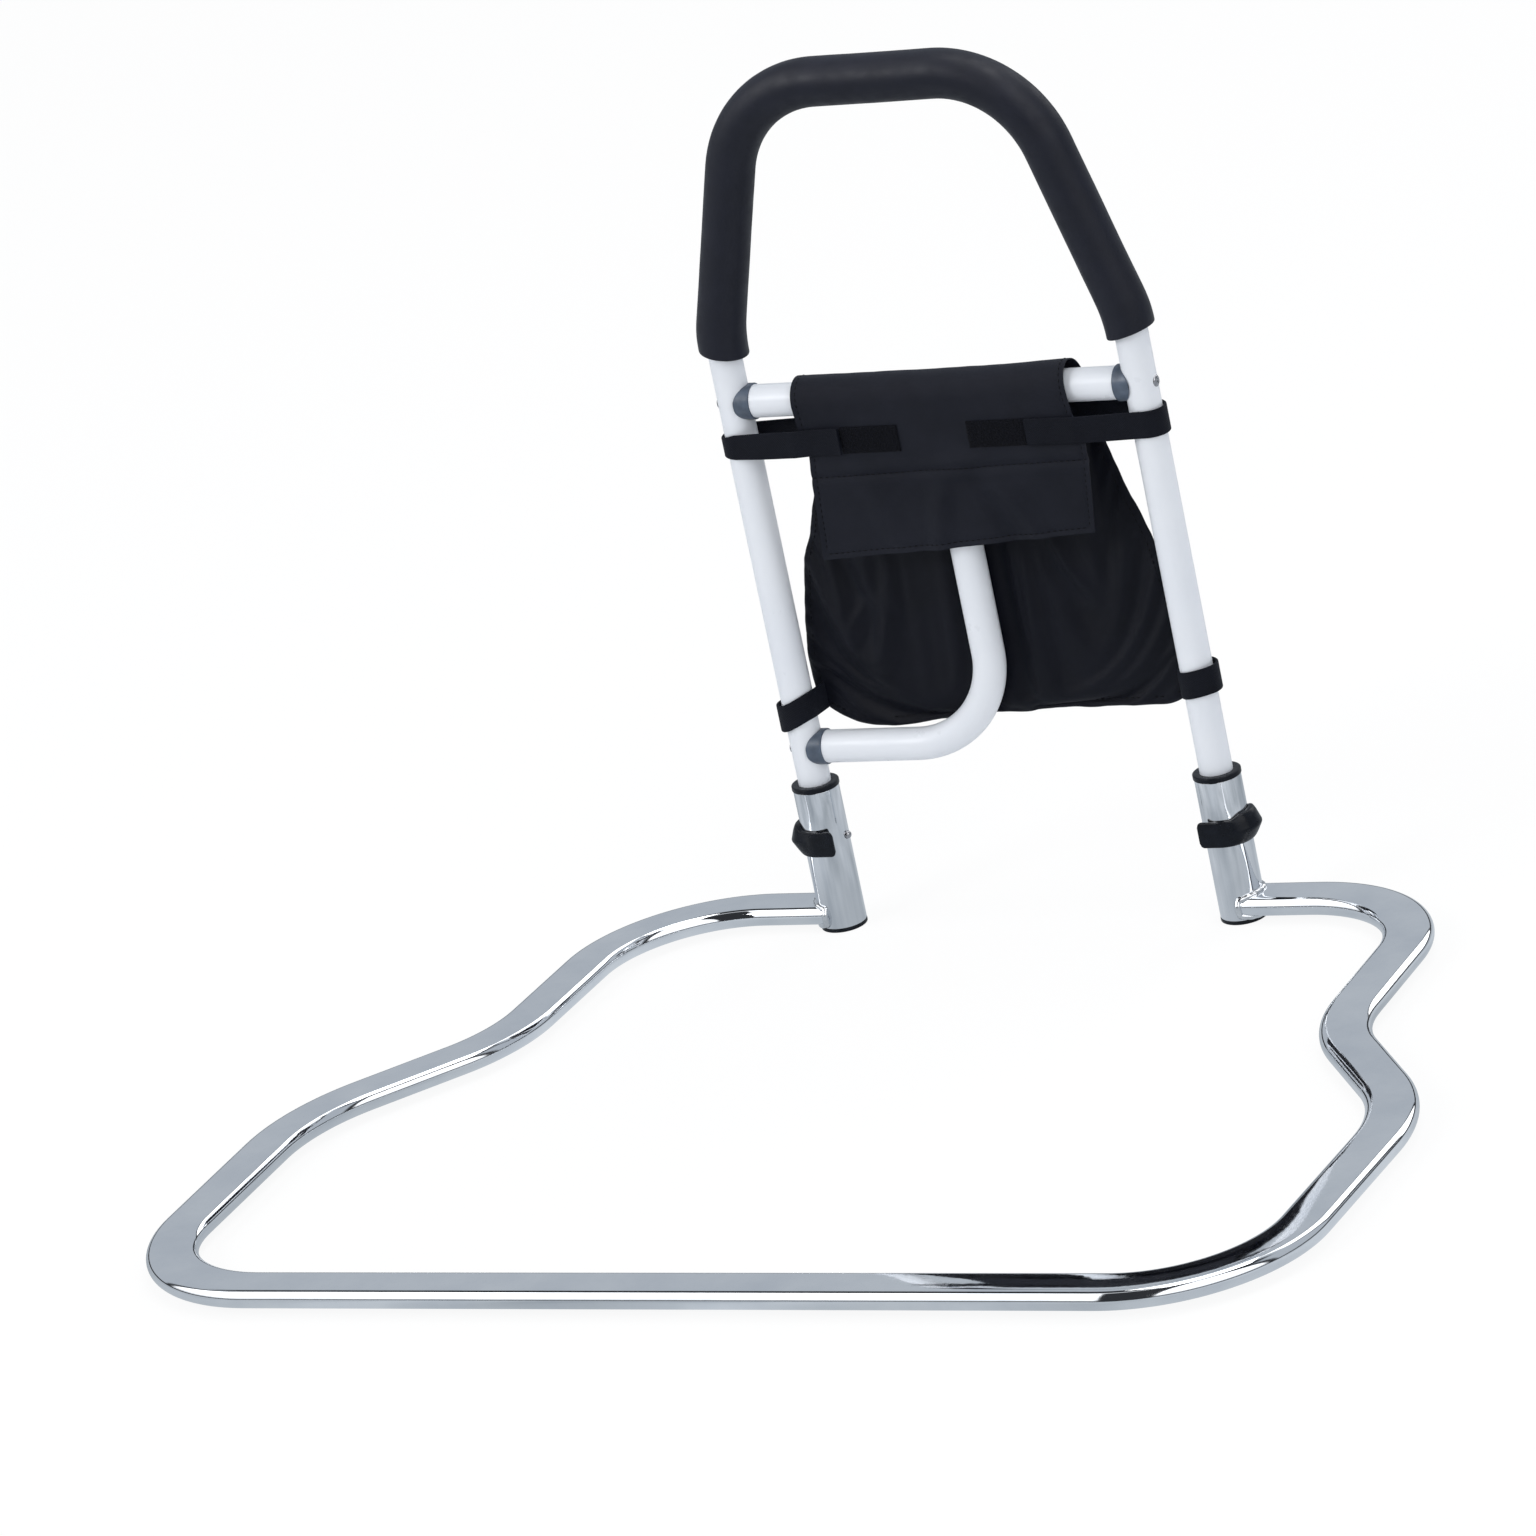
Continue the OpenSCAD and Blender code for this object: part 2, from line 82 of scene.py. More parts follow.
# ---------- Sizes that come from the CAD boxes ----------

HANDLE_Y = middle("crossbar").y
LEG_X = middle("right_socket").x
TUBE_R = extent("crossbar").y / 2
CROSSBAR_Z = middle("crossbar").z
CROSSBAR_HALF = extent("crossbar").x / 2
BASE_Z = middle("base_tube").z
BASE_H = extent("base_tube").z - 0.1
SOCKET_R = extent("right_socket").x / 2
PIN_Z = middle("right_lock_pin").z
PIN_R = extent("right_lock_pin").z / 2
FOAM_R = extent("foam_grip").y / 2 - 0.05
FOAM_Z = cad_box("foam_grip")[0].z
SLEEVE_HALF = extent("bag_sleeve").x / 2
SEAM_Z = cad_box("bag_sleeve")[0].z
POUCH_BOTTOM = cad_box("bag_pouch")[0].z
POUCH_TOP = cad_box("bag_pouch")[1].z

# ---------- Sizes repeated from the design ----------

TUBE_WALL = 1.5
BORE_R = TUBE_R - TUBE_WALL
SOCKET_BORE_R = SOCKET_R - TUBE_WALL
BASE_W = 38
CROWN = 0.35
COPE_REACH = 5
BEAD_R = 2.6
BEAD_STEP = 0.8
CAP_PLUG = 14
CAP_FLOOR = 2.9
CAP_WALL = 2.4
BUSH_DEPTH = 20
BASE_SIDE = [(170, 0), (330, 0), (334, -240), (439, -378), (433, -664)]
BASE_SIDE_RADII = [0, 108, 130, 155, 108]
HANDLE_TOP = 663
KNEE_Z = 472
TOP_HALF = 111
HANDLE_RADII = [0, 45, 84, 84, 45, 0]
FOAM_KNEE_Z = 474
FOAM_RADII = [0, 95, 84, 84, 95, 0]
FOAM_END_TILT = math.radians(13)
FOAM_EDGE = 1.6
FOAM_PUFF = 0.45
LEG_BOTTOM = 22
CLIP_WALL = 3
CLIP_H = 20
CLIP_FRONT_ARM = 15
CLIP_REAR_ARM = 9
CLIP_NOSE = 6.5
CLIP_HORN = 3
BRACE_Z = 145
BRACE_BEND = 72
BRACE_TOP = CROSSBAR_Z - TUBE_R - 5
SADDLE_R = TUBE_R + 1.5
SADDLE_REACH = 12.8
SCREW_R = 2.5
SCREW_HEAD_R = 4.5
SCREW_HEAD_RISE = 1.3
SCREW_GRIP = 16
SLEEVE_R = 16.75
STRAP_Z = 393
STRAP_W = 20.5
STRAP_THICK = 1.8
LOW_STRAP_W = 21


def place(point):
    x, y, z = point
    return Vector((x, y + HANDLE_Y, z)) * MM


# ---------- Mesh helpers ----------


def add_object(name, data):
    made = bpy.data.objects.new(name, data)
    bpy.context.collection.objects.link(made)
    return made


def smooth(mesh, sharp=None):
    """Smooth shading. sharp is the angle of hard edges, in degrees."""
    mesh.shade_smooth()
    if sharp is not None:
        mesh.set_sharp_from_angle(angle=math.radians(sharp))


def finish_mesh(name, points, faces, uvs=None, sharp=None):
    """A smooth mesh object of points about the handle plane."""
    mesh = bpy.data.meshes.new(name)
    mesh.from_pydata([place(p) for p in points], [], faces)
    if uvs is not None:
        layer = mesh.uv_layers.new(name="cloth")
        for loop in mesh.loops:
            layer.data[loop.index].uv = uvs[loop.vertex_index]
    tidy = bmesh.new()
    tidy.from_mesh(mesh)
    bmesh.ops.recalc_face_normals(tidy, faces=tidy.faces)
    tidy.to_mesh(mesh)
    tidy.free()
    smooth(mesh, sharp)
    return add_object(name, mesh)


def bake_modifiers(piece):
    """Applies every modifier of a piece."""
    bpy.context.view_layer.update()
    graph = bpy.context.evaluated_depsgraph_get()
    mesh = bpy.data.meshes.new_from_object(piece.evaluated_get(graph))
    piece.modifiers.clear()
    piece.data = mesh
    return piece


def cut(piece, cutter, operation="DIFFERENCE", sharp=35):
    """Takes the cutter away from a piece, or keeps only what both share."""
    modifier = piece.modifiers.new("cut", "BOOLEAN")
    modifier.operation = operation
    modifier.solver = "EXACT"
    modifier.object = cutter
    bake_modifiers(piece)
    bpy.data.objects.remove(cutter)
    smooth(piece.data, sharp)
    return piece


def joined(name, parts):
    """One object made of the meshes of several."""
    whole = bmesh.new()
    for part in parts:
        whole.from_mesh(part.data)
        bpy.data.objects.remove(part)
    mesh = bpy.data.meshes.new(name)
    whole.to_mesh(mesh)
    whole.free()
    smooth(mesh, 40)
    return add_object(name, mesh)


def circle_points(radius, steps):
    angles = [TAU * i / steps for i in range(steps)]
    return [(radius * math.cos(angle), radius * math.sin(angle)) for angle in angles]


def oval_points(width, height, steps=20, along=8):
    """Outline of a flat oval. Its flats are crowned, so they are highest in the middle."""
    slope = 2 * CROWN / (width / 2 - height / 2)
    radius = (height / 2 - CROWN) / math.cos(slope)
    run = width / 2 - radius * (1 - math.sin(slope))
    points = []
    for side in (1, -1):
        for i in range(steps + 1):
            angle = (math.pi - 2 * slope) * (i / steps - 0.5)
            x, y = width / 2 - radius + radius * math.cos(angle), radius * math.sin(angle)
            points.append((side * x, side * y))
        for i in range(1, along):
            share = 1 - 2 * i / along
            points.append((side * run * share, side * (height / 2 - CROWN * share**2)))
    return points


def slab_points(width, height, corner, steps, along):
    """Outline of a rectangle with rounded corners, its long sides divided into steps."""
    points = []
    half_w, half_h = width / 2 - corner, height / 2 - corner
    for k, (sx, sy) in enumerate([(1, 1), (-1, 1), (-1, -1), (1, -1)]):
        for i in range(steps + 1):
            angle = math.pi / 2 * (k + i / steps)
            points.append((sx * half_w + corner * math.cos(angle), sy * half_h + corner * math.sin(angle)))
        if k % 2 == 1:
            x = points[-1][0]
            for i in range(1, along):
                points.append((x, sy * half_h * (1 - 2 * i / along)))
    return points


def turn_between(a, b, c):
    first = math.atan2(b[1] - a[1], b[0] - a[0])
    second = math.atan2(c[1] - b[1], c[0] - b[0])
    return first, (second - first + math.pi) % TAU - math.pi


def rounded_path(corners, radii, arc_step=2.5, run_step=40):
    """Points and headings along a line through the corners, each rounded to its radius."""
    path = [(Vector(corners[0]), turn_between(*corners[:3])[0])]
    for i in range(1, len(corners) - 1):
        heading, turn = turn_between(*corners[i - 1 : i + 2])
        reach = radii[i] * math.tan(abs(turn) / 2)
        ahead = Vector((math.cos(heading), math.sin(heading)))
        start = Vector(corners[i]) - reach * ahead
        side = math.copysign(1, turn)
        centre = start + side * radii[i] * Vector((-ahead.y, ahead.x))
        steps = max(2, math.ceil(math.degrees(abs(turn)) / arc_step))
        for k in range(steps + 1):
            angle = heading + turn * k / steps
            spoke = side * radii[i] * Vector((math.sin(angle), -math.cos(angle)))
            path.append((centre + spoke, angle))
    path.append((Vector(corners[-1]), path[-1][1]))
    full = [path[0]]
    for here, heading in path[1:]:
        begin = full[-1][0]
        count = max(1, math.ceil((here - begin).length / run_step))
        full += [(begin.lerp(here, k / count), heading) for k in range(1, count)]
        full.append((here, heading))
    return full


def level_frames(path, height):
    """Frames of a path in a level plane: origin, sideways, up."""
    return [
        (Vector((p.x, p.y, height)), Vector((-math.sin(a), math.cos(a), 0)), UP)
        for p, a in path
    ]


def upright_frames(path):
    """Frames of a path in the handle plane: origin, sideways, towards the bed."""
    return [
        (Vector((p.x, 0, p.y)), Vector((-math.sin(a), 0, math.cos(a))), -AWAY)
        for p, a in path
    ]


def ring_faces(low, high):
    """Faces between two closed rings of point numbers."""
    count = len(low)
    return [(low[k], low[k + 1 - count], high[k + 1 - count], high[k]) for k in range(count)]


def sweep(name, frames, outer, inner=None, sharp=None):
    """A bar of an outline along frames, or a tube where it has an inner outline too.
    An outline is a list of points, or a function from the index of a frame to one."""
    points, uvs, faces, skins = [], [], [], []
    for outline in (outer, inner) if inner else (outer,):
        run, rings = 0, []
        for i, (origin, side, up) in enumerate(frames):
            run += (origin - frames[max(i - 1, 0)][0]).length
            shape = outline(i) if callable(outline) else outline
            rim = [origin + side * a + up * b for a, b in shape]
            rings.append(range(len(points), len(points) + len(rim)))
            around = 0
            for k, point in enumerate(rim):
                around += (point - rim[max(k - 1, 0)]).length
                points.append(point)
                uvs.append((run * MM, around * MM))
        for low, high in zip(rings, rings[1:]):
            faces += ring_faces(low, high)
        skins.append(rings)
    for end in (0, -1):
        rims = [rings[end] for rings in skins]
        faces += ring_faces(*rims) if inner else [list(rims[0])]
    return finish_mesh(name, points, faces, uvs, sharp)


def lathe(name, profile, centre, axis="Z", closed=False, steps=72, sharp=40):
    """A turned solid. The profile is (radius, along) points, closed in itself or from axis to axis."""
    axes = {"Z": (RIGHT, AWAY, UP), "X": (AWAY, UP, RIGHT), "-X": (AWAY, UP, -RIGHT)}
    first, second, along = axes[axis]
    points, rings, faces = [], [], []
    for radius, height in profile:
        spokes = 1 if radius < 1e-6 else steps
        rings.append(range(len(points), len(points) + spokes))
        for a, b in circle_points(radius, steps)[:spokes]:
            points.append(Vector(centre) + a * first + b * second + height * along)
    pairs = list(zip(rings, rings[1:])) + ([(rings[-1], rings[0])] if closed else [])
    for low, high in pairs:
        for k in range(steps):
            corners = [low[k % len(low)], low[(k + 1) % len(low)]]
            corners += [high[(k + 1) % len(high)], high[k % len(high)]]
            unique = list(dict.fromkeys(corners))
            if len(unique) > 2:
                faces.append(unique)
    return finish_mesh(name, points, faces, sharp=sharp)


def wall_profile(inner, outer, low, high):
    return [(inner, low), (outer, low), (outer, high), (inner, high)]


def round_bar(name, radius, low, high, centre, axis="Z", steps=72):
    """A plain round bar between two places along its axis."""
    return lathe(name, wall_profile(0, radius, low, high), centre, axis, steps=steps)


def eased(profile, radius):
    """The closed profile with each corner rounded."""
    out, steps = [], 4
    for i in range(len(profile)):
        before, here, after = (Vector(profile[k % len(profile)]) for k in (i - 1, i, i + 1))
        back, ahead = before - here, after - here
        reach = min(radius, 0.45 * back.length, 0.45 * ahead.length)
        start, end = here + back.normalized() * reach, here + ahead.normalized() * reach
        for k in range(steps + 1):
            t = k / steps
            out.append(tuple(start * (1 - t) ** 2 + here * 2 * t * (1 - t) + end * t * t))
    return out


def smooth_step(t):
    t = min(1.0, max(0.0, t))
    return t * t * (3 - 2 * t)


def hill(t, width):
    """A smooth bump, 1 at 0 and 0 from width on."""
    return smooth_step(1 - abs(t) / width)


# ---------- Material helpers ----------


class Nodes:
    """A node tree being built. An input takes a plain value or the output of another node."""

    def __init__(self, tree):
        self.tree = tree

    def put(self, socket, value):
        if isinstance(value, bpy.types.NodeSocket):
            self.tree.links.new(value, socket)
        else:
            socket.default_value = value

    def node(self, kind, inputs=None, **settings):
        made = self.tree.nodes.new(kind)
        for name, value in settings.items():
            setattr(made, name, value)
        for name, value in (inputs or {}).items():
            self.put(made.inputs[name], value)
        return made

    def math(self, operation, first, second=0.0):
        return self.node("ShaderNodeMath", {0: first, 1: second}, operation=operation).outputs[0]

    def apart(self, vector):
        split = self.node("ShaderNodeSeparateXYZ", {0: vector})
        return [split.outputs[axis] for axis in "XYZ"]

    def remap(self, value, low, high, to_low=0.0, to_high=1.0, **settings):
        ends = {"From Min": low, "From Max": high, "To Min": to_low, "To Max": to_high}
        return self.node("ShaderNodeMapRange", {"Value": value, **ends}, **settings).outputs["Result"]

    def mix(self, share, first, second):
        """Colour between two. Inputs 6 and 7 and output 2 of the node are its colours."""
        return self.node("ShaderNodeMix", {0: share, 6: first, 7: second}, data_type="RGBA").outputs[2]


class Shader(Nodes):
    """A procedural material being built from nodes."""

    def __init__(self, name, color, roughness, metallic=0.0):
        self.material = bpy.data.materials.new(name)
        self.material.use_nodes = True
        super().__init__(self.material.node_tree)
        self.surface = self.tree.nodes["Principled BSDF"]
        self.relief = None
        self.set("Base Color", (*color, 1))
        self.set("Roughness", roughness)
        self.set("Metallic", metallic)

    def set(self, name, value):
        self.put(self.surface.inputs[name], value)

    def noise(self, scale, detail=3.0, roughness=0.5, stretch=(1, 1, 1)):
        where = self.node("ShaderNodeTexCoord").outputs["Object"]
        if stretch != (1, 1, 1):
            where = self.node("ShaderNodeMapping", {"Vector": where, "Scale": stretch}).outputs["Vector"]
        grain = {"Scale": scale, "Detail": detail, "Roughness": roughness}
        return self.node("ShaderNodeTexNoise", {"Vector": where, **grain}).outputs["Fac"]

    def cells(self, scale):
        where = self.node("ShaderNodeTexCoord").outputs["Object"]
        return self.node("ShaderNodeTexVoronoi", {"Vector": where, "Scale": scale}).outputs["Distance"]

    def ramp(self, value, stops):
        """Colour between two (position, colour) stops."""
        made = self.node("ShaderNodeValToRGB", {"Fac": value})
        for element, (position, color) in zip(made.color_ramp.elements, stops):
            element.position = position
            element.color = (*color, 1)
        return made.outputs["Color"]

    def tint(self, value, stops):
        self.set("Base Color", self.ramp(value, stops))

    def vary_roughness(self, value, low, high, to_low, to_high):
        self.set("Roughness", self.remap(value, low, high, to_low, to_high))

    def bump(self, height, strength, distance):
        """Adds relief on top of what there is."""
        inputs = {"Strength": strength, "Distance": distance, "Height": height}
        if self.relief is not None:
            inputs["Normal"] = self.relief
        self.relief = self.node("ShaderNodeBump", inputs).outputs["Normal"]
        self.set("Normal", self.relief)

    def weave(self, period):
        """Height of a plain weave, from the cloth's own coordinates in metres."""
        across, along, _ = self.apart(self.node("ShaderNodeUVMap", uv_map="cloth").outputs["UV"])
        waves = [self.math("SINE", self.math("MULTIPLY", way, TAU / period)) for way in (across, along)]
        return self.math("MULTIPLY", *waves)


def chrome_material(name, reflection_streaks, dark, light):
    """Polished plating with painted reflections. The streak sizes scale the pattern of painted reflection
    that lightens and darkens its colour.
    """
    made = Shader(name, light, 0.06, 1.0)
    # Painted reflections: a streaky pattern of dark and light in the colour stands in for the surroundings
    # that the chrome reflects.
    made.tint(made.noise(70, 4, 0.6, stretch=reflection_streaks), [(0.32, dark), (0.68, light)])
    made.vary_roughness(made.noise(38, 5, 0.65), 0.3, 0.75, 0.035, 0.1)
    made.bump(made.noise(34, 3, 0.5), 1.0, 0.00014)
    made.bump(made.noise(160, 3, 0.6, stretch=(1, 1, 0.25)), 0.02, 0.0006)
    return made.material


def weld_material():
    made = Shader("weld_plated", (0.72, 0.74, 0.77), 0.16, 1.0)
    heat = made.noise(180, 3, 0.6)
    made.tint(heat, [(0.25, (0.62, 0.63, 0.65)), (0.7, (0.86, 0.88, 0.9))])
    made.vary_roughness(heat, 0.3, 0.7, 0.1, 0.28)
    made.bump(made.noise(420, 2, 0.5), 0.15, 0.0003)
    return made.material


def white_material():
    made = Shader("white_powder_coat", (0.73, 0.76, 0.81), 0.34)
    made.tint(made.noise(14, 3), [(0.3, (0.725, 0.755, 0.805)), (0.7, (0.76, 0.785, 0.825))])
    made.set("Specular IOR Level", 0.4)
    made.set("Coat Weight", 0.12)
    made.set("Coat Roughness", 0.25)
    made.vary_roughness(made.noise(60, 4), 0.3, 0.7, 0.27, 0.4)
    made.bump(made.noise(900, 2, 0.5), 0.05, 0.0003)
    return made.material


def foam_material():
    made = Shader("grip_foam", (0.005, 0.006, 0.011), 0.45)
    mottled = made.noise(30, 4, 0.6)
    made.tint(mottled, [(0.3, (0.0040, 0.0052, 0.0125)), (0.7, (0.0065, 0.0080, 0.018))])
    made.set("Specular IOR Level", 0.34)
    made.set("Sheen Weight", 0.02)
    made.set("Sheen Roughness", 0.5)
    made.vary_roughness(made.noise(90, 4), 0.3, 0.7, 0.42, 0.58)
    made.bump(made.cells(1500), 0.12, 0.0003)
    made.bump(made.noise(260, 3, 0.6), 0.06, 0.0004)
    return made.material


def plastic_material(name, color, roughness, grain=0.1, specular=0.4):
    made = Shader(name, color, roughness)
    darker, lighter = (tuple(share * c for c in color) for share in (0.75, 1.25))
    made.tint(made.noise(120, 3), [(0.3, darker), (0.7, lighter)])
    made.set("Specular IOR Level", specular)
    made.vary_roughness(made.noise(220, 3), 0.3, 0.7, roughness * 0.8, roughness * 1.25)
    made.bump(made.noise(1400, 2, 0.5), grain, 0.0002)
    return made.material


def steel_material():
    made = Shader("zinc_steel", (0.5, 0.5, 0.52), 0.22, 1.0)
    brushed = made.noise(300, 3, 0.6, stretch=(0.1, 1, 1))
    made.tint(brushed, [(0.3, (0.36, 0.36, 0.38)), (0.7, (0.58, 0.58, 0.6))])
    made.vary_roughness(brushed, 0.3, 0.7, 0.16, 0.32)
    made.bump(brushed, 0.06, 0.0002)
    return made.material


def cloth_material(name, dark, light, period, roughness, specular, depth):
    """Coated woven polyester, with colour and gloss that drift a little over the cloth."""
    made = Shader(name, light, roughness)
    threads = made.weave(period)
    drift = made.noise(24, 4, 0.6)
    mixed = made.math("ADD", made.math("MULTIPLY", threads, 0.16), drift)
    made.tint(mixed, [(0.25, dark), (0.75, light)])
    made.set("Specular IOR Level", specular)
    made.set("Sheen Weight", 0.03)
    made.set("Sheen Roughness", 0.45)
    made.set("Sheen Tint", (0.7, 0.75, 0.95, 1))
    made.vary_roughness(drift, 0.3, 0.7, roughness * 0.88, roughness * 1.12)
    made.bump(threads, 0.5, depth)
    made.bump(made.noise(420, 3, 0.6), 0.12, 0.0004)
    return made.material


def hook_material():
    made = Shader("hook_tape", (0.006, 0.006, 0.007), 0.8)
    tufts = made.cells(900)
    made.tint(tufts, [(0.05, (0.0006, 0.0007, 0.001)), (0.6, (0.0038, 0.0044, 0.0078))])
    made.set("Specular IOR Level", 0.08)
    made.set("Sheen Weight", 0.03)
    made.bump(tufts, 0.9, 0.0008)
    made.bump(made.noise(1600, 3, 0.7), 0.6, 0.0005)
    return made.material


MATERIALS = {
    # The tubes' chrome: painted reflections, a streaky pattern of dark and light in its colour.
    "chrome": chrome_material("chrome_plate", (0.25, 0.25, 0.25), (0.8, 0.83, 0.87), (0.92, 0.94, 0.96)),
    "weld": weld_material(),
    "white_coat": white_material(),
    "foam": foam_material(),
    "black_plastic": plastic_material("black_moulding", (0.0035, 0.005, 0.009), 0.3, 0.03, 0.22),
    "grey_plastic": plastic_material("grey_moulding", (0.07, 0.092, 0.128), 0.36, 0.1),
    "dark_plastic": plastic_material("dark_moulding", (0.05, 0.05, 0.055), 0.45),
    "steel": steel_material(),
    "bag_cloth": cloth_material(
        "bag_weave", (0.0045, 0.0055, 0.0110), (0.0100, 0.0115, 0.0190), 0.0011, 0.52, 0.16, 0.0002
    ),
    "strap_web": cloth_material(
        "strap_weave", (0.0026, 0.0034, 0.0070), (0.0070, 0.0085, 0.0145), 0.0016, 0.6, 0.12, 0.0004
    ),
    "hook_tape": hook_material(),
}
# The sockets' chrome: painted reflections run up it as long upright stripes of dark and light in its
# colour.
SOCKET_CHROME = chrome_material("socket_chrome", (1.0, 1.0, 0.03), (0.66, 0.69, 0.73), (0.97, 0.98, 1.0))
POUCH_CLOTH = cloth_material(
    "pouch_weave", (0.0020, 0.0026, 0.0060), (0.0042, 0.0050, 0.0105), 0.0008, 0.38, 0.16, 0.00012
)
THREAD = cloth_material(
    "sewing_thread", (0.0012, 0.0013, 0.002), (0.0032, 0.0035, 0.005), 0.0006, 0.5, 0.1, 0.0001
)


def dress(piece, slot, material=None):
    """Gives a piece its material: the one given, or else the one listed under the slot."""
    piece.data.materials.clear()
    piece.data.materials.append(material or MATERIALS[slot])


def settle(piece, body, slot, node, material=None):
    """Dresses a piece, rides it on a body and lets it stand for a CAD node."""
    dress(piece, slot, material)
    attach(piece, body)
    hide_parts(node)


# ---------- Base ----------


def mirrored(side):
    return [(-x, y) for x, y in reversed(side)]


def build_base():
    corners = BASE_SIDE + mirrored(BASE_SIDE)
    radii = BASE_SIDE_RADII + list(reversed(BASE_SIDE_RADII))
    frames = level_frames(rounded_path(corners, radii), BASE_Z)
    outer = oval_points(BASE_W, BASE_H)
    inner = oval_points(BASE_W - 2 * TUBE_WALL, BASE_H - 2 * TUBE_WALL)
    base = sweep("base_loop", frames, outer, inner, sharp=50)
    for side in (-1, 1):
        core = round_bar("core", SOCKET_R, 0, 60, (side * LEG_X, 0, -10))
        cut(base, core, sharp=50)
    settle(base, "frame", "chrome", "base_tube")


def weld_bead(side, outline):
    """A rippled bead where a socket meets the base, whose outline is given as (across, up) points."""
    outward = Vector((side, 0, 0))
    line = []
    for across, up in outline:
        reach = math.sqrt(max(COPE_REACH**2, SOCKET_R**2 - across**2))
        line.append(Vector((side * (LEG_X + reach), across, BASE_Z + up)))
    points, rings, faces = [], [], []
    for i, here in enumerate(line):
        ahead = (line[(i + 1) % len(line)] - line[i - 1]).normalized()
        first = (outward - ahead * ahead.dot(outward)).normalized()
        second = ahead.cross(first)
        radius = BEAD_R * (1 + 0.05 * math.cos(TAU * i / 5.5) + 0.25 * noise.noise(here * 0.17))
        rim = circle_points(radius, 10)
        rings.append(range(len(points), len(points) + len(rim)))
        points += [here + a * first + b * second for a, b in rim]
    for low, high in zip(rings, rings[1:] + rings[:1]):
        faces += ring_faces(low, high)
    return finish_mesh("bead", points, faces)


def build_welds():
    outline = oval_points(BASE_W + 0.6, BASE_H + 0.6, 30, along=12)
    dense = []
    for (a, b), (c, d) in zip(outline, outline[1:] + outline[:1]):
        count = max(1, round(math.hypot(c - a, d - b) / BEAD_STEP))
        dense += [(a + (c - a) * k / count, b + (d - b) * k / count) for k in range(count)]
    beads = [weld_bead(side, dense) for side in (-1, 1)]
    settle(joined("weld_beads", beads), "frame", "weld", "socket_welds")


# ---------- Sockets and locks ----------


def build_socket(side, word):
    low, high = (corner.z for corner in cad_box(f"{word}_socket"))
    foot = (side * LEG_X, 0, 0)
    wall = eased(wall_profile(SOCKET_BORE_R, SOCKET_R, low, high), 0.5)
    tube = lathe(f"{word}_socket_tube", wall, foot, closed=True, steps=96)
    drill = round_bar("drill", PIN_R + 0.25, -30, 30, (side * LEG_X, 0, PIN_Z), "X", steps=40)
    cut(tube, drill)
    settle(tube, "frame", "chrome", f"{word}_socket", material=SOCKET_CHROME)

    plug_r = SOCKET_BORE_R - 0.1
    hollow_r = plug_r - CAP_WALL
    rim_r = SOCKET_R + 0.2
    rim = [(hollow_r, 0), (rim_r, 0), (rim_r, low), (plug_r, low)]
    rim += [(plug_r, CAP_PLUG), (hollow_r, CAP_PLUG)]
    rim = lathe(f"{word}_cap_rim", eased(rim, 0.8), foot, closed=True)
    disc = round_bar("disc", hollow_r + 0.5, 0, CAP_FLOOR, foot)
    settle(joined(f"{word}_floor_cap", [rim, disc]), "frame", "black_plastic", f"{word}_socket_cap")

    top = cad_box(f"{word}_socket_collar")[1].z
    bush_r = TUBE_R + 0.1
    flange_r = SOCKET_R + 0.7
    foot_z = high - BUSH_DEPTH
    flange = [(bush_r, foot_z), (plug_r, foot_z), (plug_r, high), (flange_r, high)]
    flange += [(flange_r, top - 0.4), (SOCKET_R - 0.4, top), (bush_r, top)]
    collar = lathe(f"{word}_guide_bush", eased(flange, 0.5), foot, closed=True)
    settle(collar, "frame", "black_plastic", f"{word}_socket_collar")


def clip_path():
    """Places round the right socket and outward directions, from the front arm to the rear arm."""
    middle_r = SOCKET_R + 0.1 + CLIP_WALL / 2
    path = [((-CLIP_FRONT_ARM * (1 - k / 16), -middle_r), (0, -1)) for k in range(16)]
    for k in range(73):
        angle = math.pi * (k / 72 - 0.5)
        outward = (math.cos(angle), math.sin(angle))
        path.append(((middle_r * outward[0], middle_r * outward[1]), outward))
    path += [((-CLIP_REAR_ARM * k / 10, middle_r), (0, 1)) for k in range(1, 11)]
    return path


